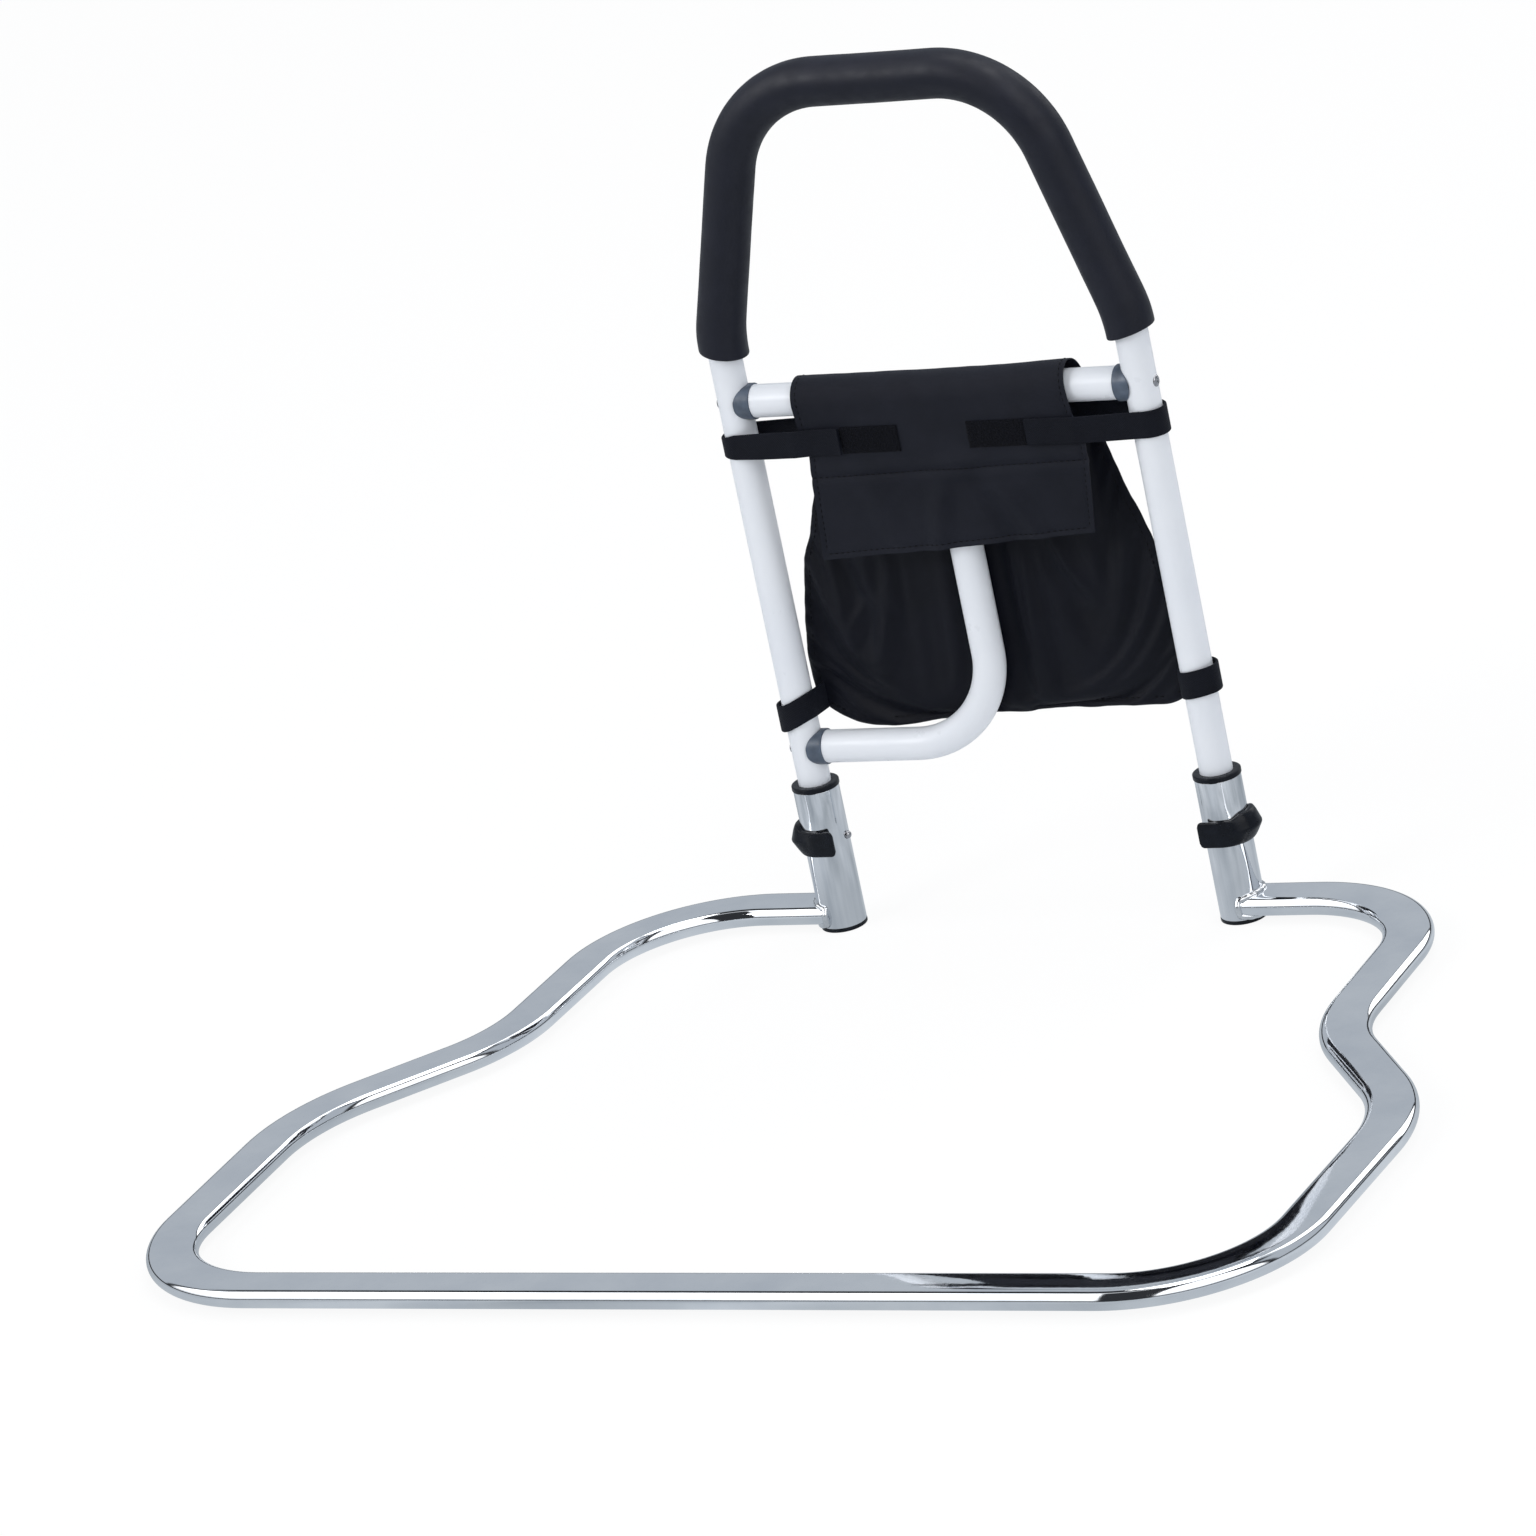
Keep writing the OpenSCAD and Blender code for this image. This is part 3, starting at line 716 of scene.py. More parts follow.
def build_clip(side, word):
    """U clip with rounded arm ends, and a wedge on its back for the finger."""
    path = clip_path()
    frames = [
        (Vector((side * (LEG_X + x), y, PIN_Z)), Vector((side * out_x, out_y, 0)), UP)
        for (x, y), (out_x, out_y) in path
    ]
    section = slab_points(CLIP_WALL, CLIP_H, 1.0, 4, 18)

    def outline(index):
        (x, y), (out_x, _) = path[index]
        to_end = min((Vector((x, y)) - Vector(path[end][0])).length for end in (0, -1))
        rounding = math.sqrt(1 - (1 - min(1, to_end / 3.5)) ** 2)
        height = 0.66 + 0.34 * rounding
        thick = 0.6 + 0.4 * min(1, to_end / 3)
        back = smooth_step(1.3 * (out_x - 0.3))
        horn = CLIP_HORN * smooth_step((out_x - 0.55) / 0.4)
        shape = []
        for a, b in section:
            level = max(0, 1 - abs(b / (CLIP_H / 2) - 0.06)) ** 0.85
            wedge = CLIP_NOSE * level * back * smooth_step(a / 1.2)
            rise = horn * smooth_step(b / 8)
            shape.append((a * thick + wedge, b * height + rise))
        return shape

    clip = sweep(f"{word}_clip_band", frames, outline, sharp=60)
    settle(clip, f"{word}_lock", "black_plastic", f"{word}_lock_clip")

    low, high = cad_box(f"{word}_lock_pin")
    tip, root = (low.x, high.x) if side > 0 else (-high.x, -low.x)
    dome = [(0, 0), (0.9, 0.12), (1.8, 0.55), (2.5, 1.2), (2.9, 2.0), (PIN_R, 2.8)]
    profile = dome + [(PIN_R, root - tip - 0.4), (PIN_R - 0.4, root - tip), (0, root - tip)]
    axis = "X" if side > 0 else "-X"
    pin = lathe(f"{word}_pin_rod", profile, (side * tip, 0, PIN_Z), axis, steps=48, sharp=50)
    settle(pin, f"{word}_lock", "steel", f"{word}_lock_pin")


# ---------- Handle, crossbar and brace ----------


def handle_corners(foot, knee=KNEE_Z):
    side = [(LEG_X, foot), (LEG_X, knee), (TOP_HALF, HANDLE_TOP)]
    return side + mirrored(side)


def white_tube(name, node, frames):
    tube = sweep(name, frames, circle_points(TUBE_R, 64), circle_points(BORE_R, 64), sharp=50)
    settle(tube, "frame", "white_coat", node)


def build_handle():
    frames = upright_frames(rounded_path(handle_corners(LEG_BOTTOM), HANDLE_RADII, 2.0))
    white_tube("handle_bar", "handle_tube", frames)


def foam_frames():
    """Frames of the foam. Its ends are cut askew, longer on the side that faces the hand."""
    path = rounded_path(handle_corners(FOAM_Z, FOAM_KNEE_Z), FOAM_RADII, 1.5, 8)
    frames = upright_frames(path)
    head, tail = frames[0], frames[-1]
    extra = [FOAM_EDGE * (1 - math.cos(math.pi / 2 * k / 5)) for k in range(1, 6)]
    starts = [(head[0] + Vector((0, 0, d)), head[1], head[2]) for d in extra]
    ends = [(tail[0] + Vector((0, 0, d)), tail[1], tail[2]) for d in reversed(extra)]
    body = [f for f in frames[1:-1] if f[0].z > FOAM_Z + FOAM_EDGE + 1]
    tilted = []
    for origin, side, front in [head] + starts + body + ends + [tail]:
        askew = math.tan(FOAM_END_TILT) * (1 - smooth_step((origin.z - FOAM_Z) / 32))
        tilted.append((origin, side - askew * UP, front))
    return tilted


def build_foam():
    frames = foam_frames()

    def outline(index):
        origin, side, front = frames[index]
        rise = origin.z - FOAM_Z
        pull = 0.0
        if rise < FOAM_EDGE:
            pull = FOAM_EDGE - math.sqrt(FOAM_EDGE**2 - (FOAM_EDGE - rise) ** 2)
        shape = []
        for a, b in circle_points(1, 72):
            point = origin + side * a * FOAM_R + front * b * FOAM_R
            soft = 0.22 * noise.noise(point * 0.021) + 0.08 * noise.noise(point * 0.09)
            radius = FOAM_R + FOAM_PUFF - pull + soft
            shape.append((a * radius, b * radius))
        return shape

    foam = sweep("grip_sleeve", frames, outline, circle_points(TUBE_R + 0.6, 72), sharp=60)
    settle(foam, "frame", "foam", "foam_grip")


def build_bars():
    level = [
        (Vector((x, 0, CROSSBAR_Z)), AWAY, UP)
        for x in np.linspace(-CROSSBAR_HALF, CROSSBAR_HALF, 9)
    ]
    white_tube("cross_bar", "crossbar", level)
    corners = [(-CROSSBAR_HALF, BRACE_Z), (0, BRACE_Z), (0, BRACE_TOP)]
    white_tube("brace_bar", "brace_tube", upright_frames(rounded_path(corners, [0, BRACE_BEND, 0], 2.0)))


def saddle(name):
    """Saddle drawn at the right leg at height 0: a plug hollowed on the leg, cut to a crescent."""
    start = CROSSBAR_HALF
    plug = wall_profile(SCREW_R + 0.25, SADDLE_R - 0.3, start, start + SADDLE_REACH)
    made = lathe(name, eased(plug, 0.8), (0, 0, 0), "X", closed=True, steps=96)
    cut(made, round_bar("leg", TUBE_R + 0.05, -30, 30, (LEG_X, 0, 0), steps=96), sharp=45)
    across = [(Vector((start, y, 0)), RIGHT, UP) for y in (-30, 30)]
    rim = [(a * SADDLE_REACH, b * (SADDLE_R + 0.2)) for a, b in circle_points(1, 96)]
    return cut(made, sweep("crescent", across, rim), "INTERSECT", sharp=45)


def screw(name):
    """Screw drawn at the right leg at height 0: a domed head on the tube, with a cross recess."""
    seat = LEG_X + TUBE_R
    top = seat + SCREW_HEAD_RISE
    dome = [(0, 0), (2.0, 0.1), (3.2, 0.35), (4.0, 0.8), (SCREW_HEAD_R, 1.4)]
    profile = [(radius, top - drop) for radius, drop in dome] + [(SCREW_HEAD_R, LEG_X), (0, LEG_X)]
    head = lathe(name, profile, (0, 0, 0), "X", steps=48)
    cut(head, round_bar("leg", TUBE_R, -40, 40, (LEG_X, 0, 0), steps=96))
    for size in ((1.2, 0.65, 2.7), (1.2, 2.7, 0.65)):
        corners = []
        for deep, narrow in ((-1, 0.55), (1, 1)):
            for y, z in ((-1, -1), (1, -1), (1, 1), (-1, 1)):
                corners.append((top + deep * size[0], y * size[1] * narrow, z * size[2] * narrow))
        sides = [(0, 1, 2, 3), (4, 5, 6, 7), (0, 1, 5, 4), (1, 2, 6, 5), (2, 3, 7, 6), (3, 0, 4, 7)]
        cut(head, finish_mesh("slot", corners, sides))
    end = CROSSBAR_HALF - SCREW_GRIP
    rod = [(0, seat), (SCREW_R, seat), (SCREW_R, end + 0.6), (SCREW_R - 0.6, end), (0, end)]
    shaft = lathe("shaft", rod, (0, 0, 0), "X", steps=48)
    return joined(name, [head, shaft])


def moved(piece, matrix):
    """Moves a mesh that was drawn about the handle plane at height 0."""
    to_plane = Matrix.Translation(place((0, 0, 0)))
    piece.data.transform(to_plane @ matrix @ to_plane.inverted())
    if matrix.determinant() < 0:
        piece.data.flip_normals()
    return piece


def build_fixings():
    mirror = Matrix.Diagonal((-1, 1, 1, 1))
    at_crossbar = Matrix.Translation((0, 0, CROSSBAR_Z * MM))
    at_brace = Matrix.Translation((0, 0, BRACE_Z * MM))
    to_centre = Matrix.Translation((-LEG_X * MM, 0, 0))
    spots = {
        "left_crossbar": at_crossbar @ mirror,
        "right_crossbar": at_crossbar,
        "brace_lower": at_brace @ mirror,
        "brace_upper": at_crossbar @ Matrix.Rotation(-math.pi / 2, 4, "Y") @ to_centre,
    }
    for word, matrix in spots.items():
        made = moved(saddle(f"{word}_spacer"), matrix)
        settle(made, "frame", "grey_plastic", f"{word}_saddle")
    pairs = {
        "crossbar_screws": ("left_crossbar", "right_crossbar"),
        "brace_screws": ("brace_lower", "brace_upper"),
    }
    for node, words in pairs.items():
        screws = [moved(screw(f"{word}_screw"), spots[word]) for word in words]
        settle(joined(f"{node}_turned", screws), "frame", "steel", node)


# ---------- Bag ----------


def thicken(piece, thickness):
    solid = piece.modifiers.new("thickness", "SOLIDIFY")
    solid.thickness = thickness * MM
    solid.offset = 0
    return solid


def grid_sheet(name, columns, rows, point_at, thickness):
    """A cloth with a thickness from a grid. point_at(s, t) gives a point and its flat place."""
    points, uvs, faces = [], [], []
    for j in range(rows + 1):
        for i in range(columns + 1):
            point, flat = point_at(i / columns, j / rows)
            points.append(point)
            uvs.append((flat[0] * MM, flat[1] * MM))
    for j in range(rows):
        for i in range(columns):
            a = j * (columns + 1) + i
            faces.append((a, a + 1, a + columns + 2, a + columns + 1))
    piece = finish_mesh(name, points, faces, uvs)
    thicken(piece, thickness).use_even_offset = False
    bake_modifiers(piece)
    smooth(piece.data, 60)
    return piece


SLEEVE_BACK_Z = 402
FLAP_LEFT_BOTTOM = 299
FLAP_RIGHT_BOTTOM = 312
COVER_EDGES = [
    # way down from the top of the roll, left edge, right edge
    (-60, -111, 117),
    (0, -111, 110),
    (26, -110.5, 112),
    (43, -109, 114),
    (64, -104, 120),
    (80, -105.5, 120),
    (145, -111, 111.5),
]
HEM = 4.0
COVER_THICK = 0.9
ARC_RUN = math.pi * SLEEVE_R
BACK_RUN = CROSSBAR_Z - SLEEVE_BACK_Z
TO_FRONT = BACK_RUN + ARC_RUN + CROSSBAR_Z


def cover_x(s):
    """Distance from the middle of the cover at a share s of its width."""
    return (2 * s - 1) * SLEEVE_HALF


def edges_at(table, along):
    """Left and right edge between the rows of a table of (place, left, right)."""
    places, lefts, rights = zip(*table)
    return float(np.interp(along, places, lefts)), float(np.interp(along, places, rights))


def flap_bottom(x):
    return FLAP_LEFT_BOTTOM + (FLAP_RIGHT_BOTTOM - FLAP_LEFT_BOTTOM) * (x / SLEEVE_HALF + 1) / 2


def seam_z(x):
    """Height of the seam across the cover, which hangs a little lower at the left."""
    return SEAM_Z - 1.5 + 2.5 * x / SLEEVE_HALF


def flap_folds(x, below, taper):
    """Soft folds of the hanging flap: a ridge over the brace and waves that fan out from it."""
    drape = smooth_step((below + 4) / 34)
    lift = -2.2 * smooth_step(below / 60) * smooth_step((abs(x - 2) - 12) / 50)
    lift += 3.0 * drape * hill(x + 2 + 0.16 * below, 15) * (0.7 + 0.3 * taper)
    lift += 2.6 * drape * hill(x - 40 - 0.5 * below, 15)
    lift -= 1.8 * drape * hill(x - 23 - 0.42 * below, 10)
    lift += 1.6 * drape * hill(x + 62 - 0.3 * below, 18)
    return lift


def sleeve_point(s, t):
    """Cloth over the crossbar: t runs from the seam behind, over the bar and down the flap."""
    run = t * (TO_FRONT - flap_bottom(cover_x(s)))
    left, right = edges_at(COVER_EDGES, run - BACK_RUN - ARC_RUN / 2)
    x = left + (right - left) * s
    here = Vector((x, run, 0))
    lift = 0.55 * noise.noise(here * 0.022) + 0.22 * noise.noise(here * 0.07 + Vector((9, 0, 0)))
    if run < BACK_RUN:
        y, z, normal = SLEEVE_R, SLEEVE_BACK_Z + run, AWAY
    elif run < BACK_RUN + ARC_RUN:
        angle = (run - BACK_RUN) / SLEEVE_R
        normal = Vector((0, math.cos(angle), math.sin(angle)))
        lift += 2.4 * smooth_step((x - 20) / 90) * normal.z**2
        y, z = SLEEVE_R * normal.y, CROSSBAR_Z + SLEEVE_R * normal.z
    else:
        y, z, normal = -SLEEVE_R, TO_FRONT - run, -AWAY
        seam = z - seam_z(x)
        below = max(0.0, -seam)
        taper = below / (SEAM_Z - FLAP_LEFT_BOTTOM)
        edge_gap = min(x - left, right - x, z - flap_bottom(x) if below > 0 else right - left)
        lift += 0.5 * hill(seam + 6, 6) + 0.45 * hill(seam - 6, 6) - 0.75 * hill(seam, 3.2)
        lift += 0.35 * hill(edge_gap, 4) - 0.4 * hill(edge_gap - HEM, 1.6)
        lift += flap_folds(x, below, taper)
        lift += 1.7 * hill(seam - 4, 16) * math.sin(x / 12.0) * hill(x - 8, 75)
    point = Vector((x, y, z)) + normal * lift
    return point, (x, run)


def blend_at_seam(piece):
    """Works out two places on the seam, which nothing uses, and bakes the piece's placement into its mesh.
    """
    start, end = (place((0, -SLEEVE_R, SEAM_Z + rise)) for rise in (3, -3))
    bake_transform(piece)


def build_sleeve():
    sheet = grid_sheet("bag_cover", 150, 132, sleeve_point, COVER_THICK)
    dress(sheet, "bag_cloth")
    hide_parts("bag_sleeve", "bag_flap")
    blend_at_seam(sheet)


STITCH_LENGTH = 3.0
STITCH_GAP = 1.8
STITCH_R = 0.4
STITCH_SIDES = 6
STITCH_SHAPE = [(0, 0.35), (0.18, 0.9), (0.5, 1.0), (0.82, 0.9), (1, 0.35)]
COVER_LIFT = 0.45
POUCH_LIFT = 0.6


def stitch_row(line, normals):
    """Short rounded stitches along a line, each lying on the cloth."""
    points, faces = [], []
    run, travelled = 0.0, [0.0]
    for a, b in zip(line, line[1:]):
        run += (b - a).length
        travelled.append(run)

    def at(distance):
        for i in range(len(line) - 1):
            if travelled[i + 1] >= distance:
                span = travelled[i + 1] - travelled[i]
                k = (distance - travelled[i]) / max(span, 1e-9)
                return line[i].lerp(line[i + 1], k), normals[i].lerp(normals[i + 1], k).normalized()
        return line[-1], normals[-1]

    start = 1.0
    while start + STITCH_LENGTH < run:
        (head, up), (tail, _) = at(start), at(start + STITCH_LENGTH)
        side = (tail - head).normalized().cross(up).normalized()
        rings = []
        for along, size in STITCH_SHAPE:
            centre = head.lerp(tail, along) + up * (0.2 * size - 0.08)
            rim = circle_points(STITCH_R * size, STITCH_SIDES)
            rings.append(range(len(points), len(points) + STITCH_SIDES))
            points += [centre + a * side + 0.8 * b * up for a, b in rim]
        for low, high in zip(rings, rings[1:]):
            faces += ring_faces(low, high)
        faces += [list(rings[0]), list(rings[-1])]
        start += STITCH_LENGTH + STITCH_GAP
    return points, faces


def stitching(name, rows):
    """One object of several rows of stitches, each row a (line, normals) pair."""
    points, faces = [], []
    for line, normals in rows:
        more, over = stitch_row(line, normals)
        faces += [[len(points) + index for index in face] for face in over]
        points += more
    return finish_mesh(name, points, faces)


def sleeve_line(places):
    """Points on the cover and the cloth's outward direction there, at (s, t) places."""
    line, normals = [], []
    step = 0.004
    for s, t in places:
        right = sleeve_point(min(1, s + step), t)[0] - sleeve_point(max(0, s - step), t)[0]
        down = sleeve_point(s, min(1, t + step))[0] - sleeve_point(s, max(0, t - step))[0]
        up = down.cross(right).normalized()
        line.append(sleeve_point(s, t)[0] + up * COVER_LIFT)
        normals.append(up)
    return line, normals


def cover_t(s, z):
    """How far along the cover a height on its front is."""
    return (TO_FRONT - z) / (TO_FRONT - flap_bottom(cover_x(s)))


def build_cover_stitches():
    steps = [k / 120 for k in range(121)]
    margin = HEM / (2 * SLEEVE_HALF)
    inner = [margin + s * (1 - 2 * margin) for s in steps]
    hem_at = {s: cover_t(s, flap_bottom(cover_x(s)) + HEM) for s in inner}
    seam_at = {s: cover_t(s, seam_z(cover_x(s))) for s in steps + inner}
    rows = [[(s, seam_at[s]) for s in steps], [(s, hem_at[s]) for s in inner]]
    for s in (inner[0], inner[-1]):
        seam = seam_at[s]
        rows.append([(s, 0.02 + (seam - 0.03) * k) for k in steps])
        rows.append([(s, seam + (hem_at[s] - seam) * k) for k in steps])
    made = stitching("cover_stitching", [sleeve_line(row) for row in rows])
    dress(made, "bag_cloth", THREAD)
    blend_at_seam(made)


# ---------- Pouch ----------

POUCH_OUTLINE = [
    # height, left edge, right edge
    (190, -158, 152),
    (215, -159, 152),
    (250, -154, 150),
    (290, -145.5, 145),
    (310, -136, 139),
    (330, -130, 132),
    (350, -123, 126),
    (370, -116, 120),
    (400, -110, 112),
]
POUCH_FRONT_Y = 15.6
POUCH_STEPS = (84, 78)
POUCH_THICK = 0.8
ROW_INSET = 0.024  # share of the width
MOUTH_DROP = 0.055  # share of the height
MOUTH_SEWN = 4  # grid columns at each end
TIE_X = 140
TIE_LOW, TIE_HIGH = 168, 202
TUBE_CLEAR_Y = TUBE_R + 0.9
FOLD_ROOM = 7.0
FOLDS = [
    # height and half width of a fold on the front panel, and places along its crest
    (3.4, 11, [(-70, 305), (-76, 255), (-98, 205), (-112, 166)]),
    (3.0, 10, [(-92, 305), (-92, 260), (-116, 232), (-143, 200)]),
    (4.2, 10, [(50, 312), (100, 245), (144, 188)]),
    (3.4, 9, [(80, 300), (113, 243), (147, 204)]),
    (3.0, 13, [(44, 302), (31, 230), (25, 178)]),
    (2.0, 9, [(110, 388), (119, 345), (129, 312)]),
]


def quarter_rise(x, radius):
    """How far a round corner has risen, at a share x of its radius."""
    share = min(1.0, max(0.0, x))
    return radius * (1 - math.sqrt(1 - share**2))


def pouch_floor(x):
    """Height of the bottom seam, lowest at the left, with a round corner at each end."""
    level = POUCH_BOTTOM + 0.5 + 9.5 * smooth_step((x + 100) / 95)
    return level + quarter_rise((-x - 103) / 55, 36) + quarter_rise((x - 124) / 28, 18)


def pouch_place(s, t):
    """Place in the front view: s from left to right, t from the bottom seam to the mouth."""
    x = 0.0
    z = POUCH_BOTTOM + t * (POUCH_TOP - POUCH_BOTTOM)
    for _ in range(6):
        left, right = edges_at(POUCH_OUTLINE, z)
        x = left + (right - left) * s
        z = pouch_floor(x) + t * (POUCH_TOP - pouch_floor(x))
    return x, z


def nearest_on(line, x, z):
    """Distance from a place to a line of places, and how far along the line its nearest is."""
    here = Vector((x, z))
    best = (math.inf, 0.0)
    for k in range(len(line) - 1):
        start, along = Vector(line[k]), Vector(line[k + 1]) - Vector(line[k])
        share = min(1.0, max(0.0, (here - start).dot(along) / along.length_squared))
        away = (here - start - along * share).length
        best = min(best, (away, (k + share) / (len(line) - 1)))
    return best


def fold_lift(x, z):
    lift = 0.0
    for height, width, crest in FOLDS:
        away, share = nearest_on(crest, x, z)
        ends = smooth_step(4 * share + 0.1) * smooth_step(4 * (1 - share) + 0.1)
        lift += height * ends * (hill(away, width) - 0.5 * hill(away - 1.3 * width, 0.9 * width))
    return lift


def tube_room(x, z):
    """How far the cloth may bulge forward between the brace and the legs, from 0 to 1."""
    corner = BRACE_BEND * 0.29
    brace = [
        (-LEG_X, BRACE_Z),
        (-BRACE_BEND, BRACE_Z),
        (-corner, BRACE_Z + corner),
        (0, BRACE_Z + BRACE_BEND),
        (0, CROSSBAR_Z),
    ]
    away = min(nearest_on(brace, x, z)[0], LEG_X - abs(x), CROSSBAR_Z - z)
    return smooth_step((away - TUBE_R - 3) / 26)


def front_limit(x, z):
    return TUBE_CLEAR_Y - FOLD_ROOM * tube_room(x, z)


def pouch_panel(s, t, side):
    """Front (side -1) or back (side 1) panel of the pouch."""
    x, z = pouch_place(s, t)
    low = pouch_floor(x)
    edge = math.sqrt(max(0.0, 1 - (2 * s - 1) ** 4)) * math.sqrt(min(1.0, max(0.0, t * 3.0)))
    sag = smooth_step((z - low) / 40) * smooth_step((POUCH_TOP + 80 - z) / 190)
    here = Vector((x, z, 0))
    folds = 1.4 * noise.noise(here * 0.012 + Vector((0, 0, 5 * side)))
    if side < 0:
        forward = 0.45 * FOLD_ROOM * tube_room(x, z) + fold_lift(x, z) + 0.8 * folds
        y = max(front_limit(x, z), POUCH_FRONT_Y + 0.5 - edge * forward)
    else:
        folds += 2.2 * math.sin((x - 0.12 * (z - 230)) / 13.0) * hill(x + 70, 80) * hill(z - 240, 90)
        y = POUCH_FRONT_Y + 2.4 + edge * (5 + 25 * sag) + edge * folds
    return Vector((x, y, z)), (x + 400 * side, z)


def pouch_mesh():
    """Both panels of the pouch, sewn along the sides and the bottom, and how firmly each point
    is held while the cloth hangs."""
    columns, rows = POUCH_STEPS
    points, uvs, faces, held = [], [], [], []
    index = {}
    for side in (-1, 1):
        top = 1.0 if side < 0 else 1 - MOUTH_DROP
        for j in range(rows + 1):
            for i in range(columns + 1):
                rim = i in (0, columns) or j == 0
                if side > 0 and rim:
                    index[(side, i, j)] = index[(-1, i, j)]
                    continue
                point, flat = pouch_panel(i / columns, top * j / rows, side)
                if rim:
                    ripple = noise.noise(point * 0.09) * Vector((1, 0, 1))
                    point = Vector((point.x, POUCH_FRONT_Y + 1.4, point.z)) + ripple
                index[(side, i, j)] = len(points)
                points.append(point)
                uvs.append((flat[0] * MM, flat[1] * MM))
                sewn = j == rows and (side < 0 or min(i, columns - i) < MOUTH_SEWN)
                tied = abs(point.x) > TIE_X and TIE_LOW < point.z < TIE_HIGH
                held.append(1.0 if sewn or tied or rim else 0.0)
        for j in range(rows):
            for i in range(columns):
                corners = [(i, j), (i + 1, j), (i + 1, j + 1), (i, j + 1)]
                faces.append([index[(side, *corner)] for corner in corners])
    return finish_mesh("bag_pocket", points, faces, uvs), held


HANG_FRAMES = 24
HANG_SETTINGS = {
    "quality": 6,
    "mass": 0.12,
    "tension_stiffness": 12,
    "compression_stiffness": 12,
    "shear_stiffness": 4,
    "bending_stiffness": 0.25,
    "shrink_min": -0.02,
    "vertex_group_mass": "held",
    "pin_stiffness": 2,
    "use_pressure": True,
    "uniform_pressure_force": 0.12,
}
MOST_MOVE = 8


def hang_cloth(piece, held):
    """Lets a cloth sag under its own weight and buckle a little, and keeps the result."""
    group = piece.vertex_groups.new(name="held")
    for index, weight in enumerate(held):
        group.add([index], weight, "REPLACE")
    hang = piece.modifiers.new("hang", "CLOTH")
    for name, value in HANG_SETTINGS.items():
        setattr(hang.settings, name, value)
    hang.collision_settings.use_collision = False
    hang.point_cache.frame_start = 1
    hang.point_cache.frame_end = HANG_FRAMES
    scene = bpy.context.scene
    scene.frame_start, scene.frame_end = 1, HANG_FRAMES
    for step in range(1, HANG_FRAMES + 1):
        scene.frame_set(step)
    bake_modifiers(piece)
    scene.frame_set(1)
    piece.vertex_groups.clear()


def keep_clear(piece, start):
    """Caps how far each point moved from its start, and keeps the cloth behind the tubes."""
    for vertex, before in zip(piece.data.vertices, start):
        step = vertex.co - before
        if step.length > MOST_MOVE * MM:
            vertex.co = before + step.normalized() * MOST_MOVE * MM
        x, z = vertex.co.x / MM, vertex.co.z / MM
        vertex.co.y = max(vertex.co.y, (front_limit(x, z) + HANDLE_Y) * MM)


def build_pouch():
    pouch, held = pouch_mesh()
    start = [vertex.co.copy() for vertex in pouch.data.vertices]
    hang_cloth(pouch, held)
    keep_clear(pouch, start)
    finer = pouch.modifiers.new("finer", "SUBSURF")
    finer.levels = finer.render_levels = 1
    thicken(pouch, POUCH_THICK)
    bake_modifiers(pouch)
    smooth(pouch.data)
    settle(pouch, "frame", "bag_cloth", "bag_pouch", material=POUCH_CLOTH)


def build_pouch_stitches():
    """The row of stitches just inside the sides and the bottom of the pouch."""
    columns = POUCH_STEPS[0]
    places = [(ROW_INSET, 0.95 - 0.9 * k / columns) for k in range(columns)]
    places += [(ROW_INSET + (1 - 2 * ROW_INSET) * k / columns, 0.03) for k in range(columns + 1)]
    places += [(1 - ROW_INSET, 0.05 + 0.9 * k / columns) for k in range(columns)]
    line = [pouch_panel(s, t, -1)[0] - POUCH_LIFT * AWAY for s, t in places]
    made = stitching("pocket_stitching", [(line, [-AWAY] * len(line))])
    dress(made, "bag_cloth", THREAD)
    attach(made, "frame")


# ---------- Straps ----------


def strap_frames(points, tilt):
    """Frames along a band that stands on edge. tilt(k) lifts the band at share k of its length."""
    line = [Vector(p) for p in points]
    frames = []
    for i, here in enumerate(line):
        ahead = (line[min(i + 1, len(line) - 1)] - line[max(i - 1, 0)]).normalized()
        side = Vector((ahead.y, -ahead.x, 0)).normalized()
        lift = Vector((0, 0, tilt(i / (len(line) - 1))))
        lean = side.cross(ahead)
        frames.append((here + lift, side, lean if lean.z > 0 else -lean))
    return frames


def arc_points(radius, start, end, steps, slack):
    """Places round the right leg, from one angle to another, with slack on its outer side."""
    points = []
    for k in range(steps + 1):
        angle = start + (end - start) * k / steps
        away = radius + slack * max(0.0, math.cos(angle)) ** 2
        points.append((LEG_X + away * math.cos(angle), away * math.sin(angle)))
    return points


def wrap_plan(start, radius, end, slack):
    """A line from a place to the right leg, then round its front, its outside and its back."""
    reach = Vector(start) - Vector((LEG_X, 0))
    touch = math.atan2(reach.y, reach.x) + math.acos(radius / reach.length)
    arc = arc_points(radius, touch, end, 56, slack)
    return [tuple(Vector(start).lerp(Vector(arc[0]), k / 7)) for k in range(7)] + arc


STRAP_R = TUBE_R + 1.3
FREE_END_X = 75.5
COVER_END_X = 118
BACK_START_X = 160
STRAP_STEP = 4.6
UPPER_STRAPS = {
    # rise from the free end to the leg and then behind it, curl of the free end, pinch at the leg
    "left": ((-4.4, 3.0), 1.6, 0.26),
    "right": ((-1.0, 2.0), 0.7, 0.0),
}
LOWER_STRAPS = {
    # rise at the pouch, and in front of the leg
    "left": (4.5, -4.5),
    "right": (-2.5, 1.0),
}


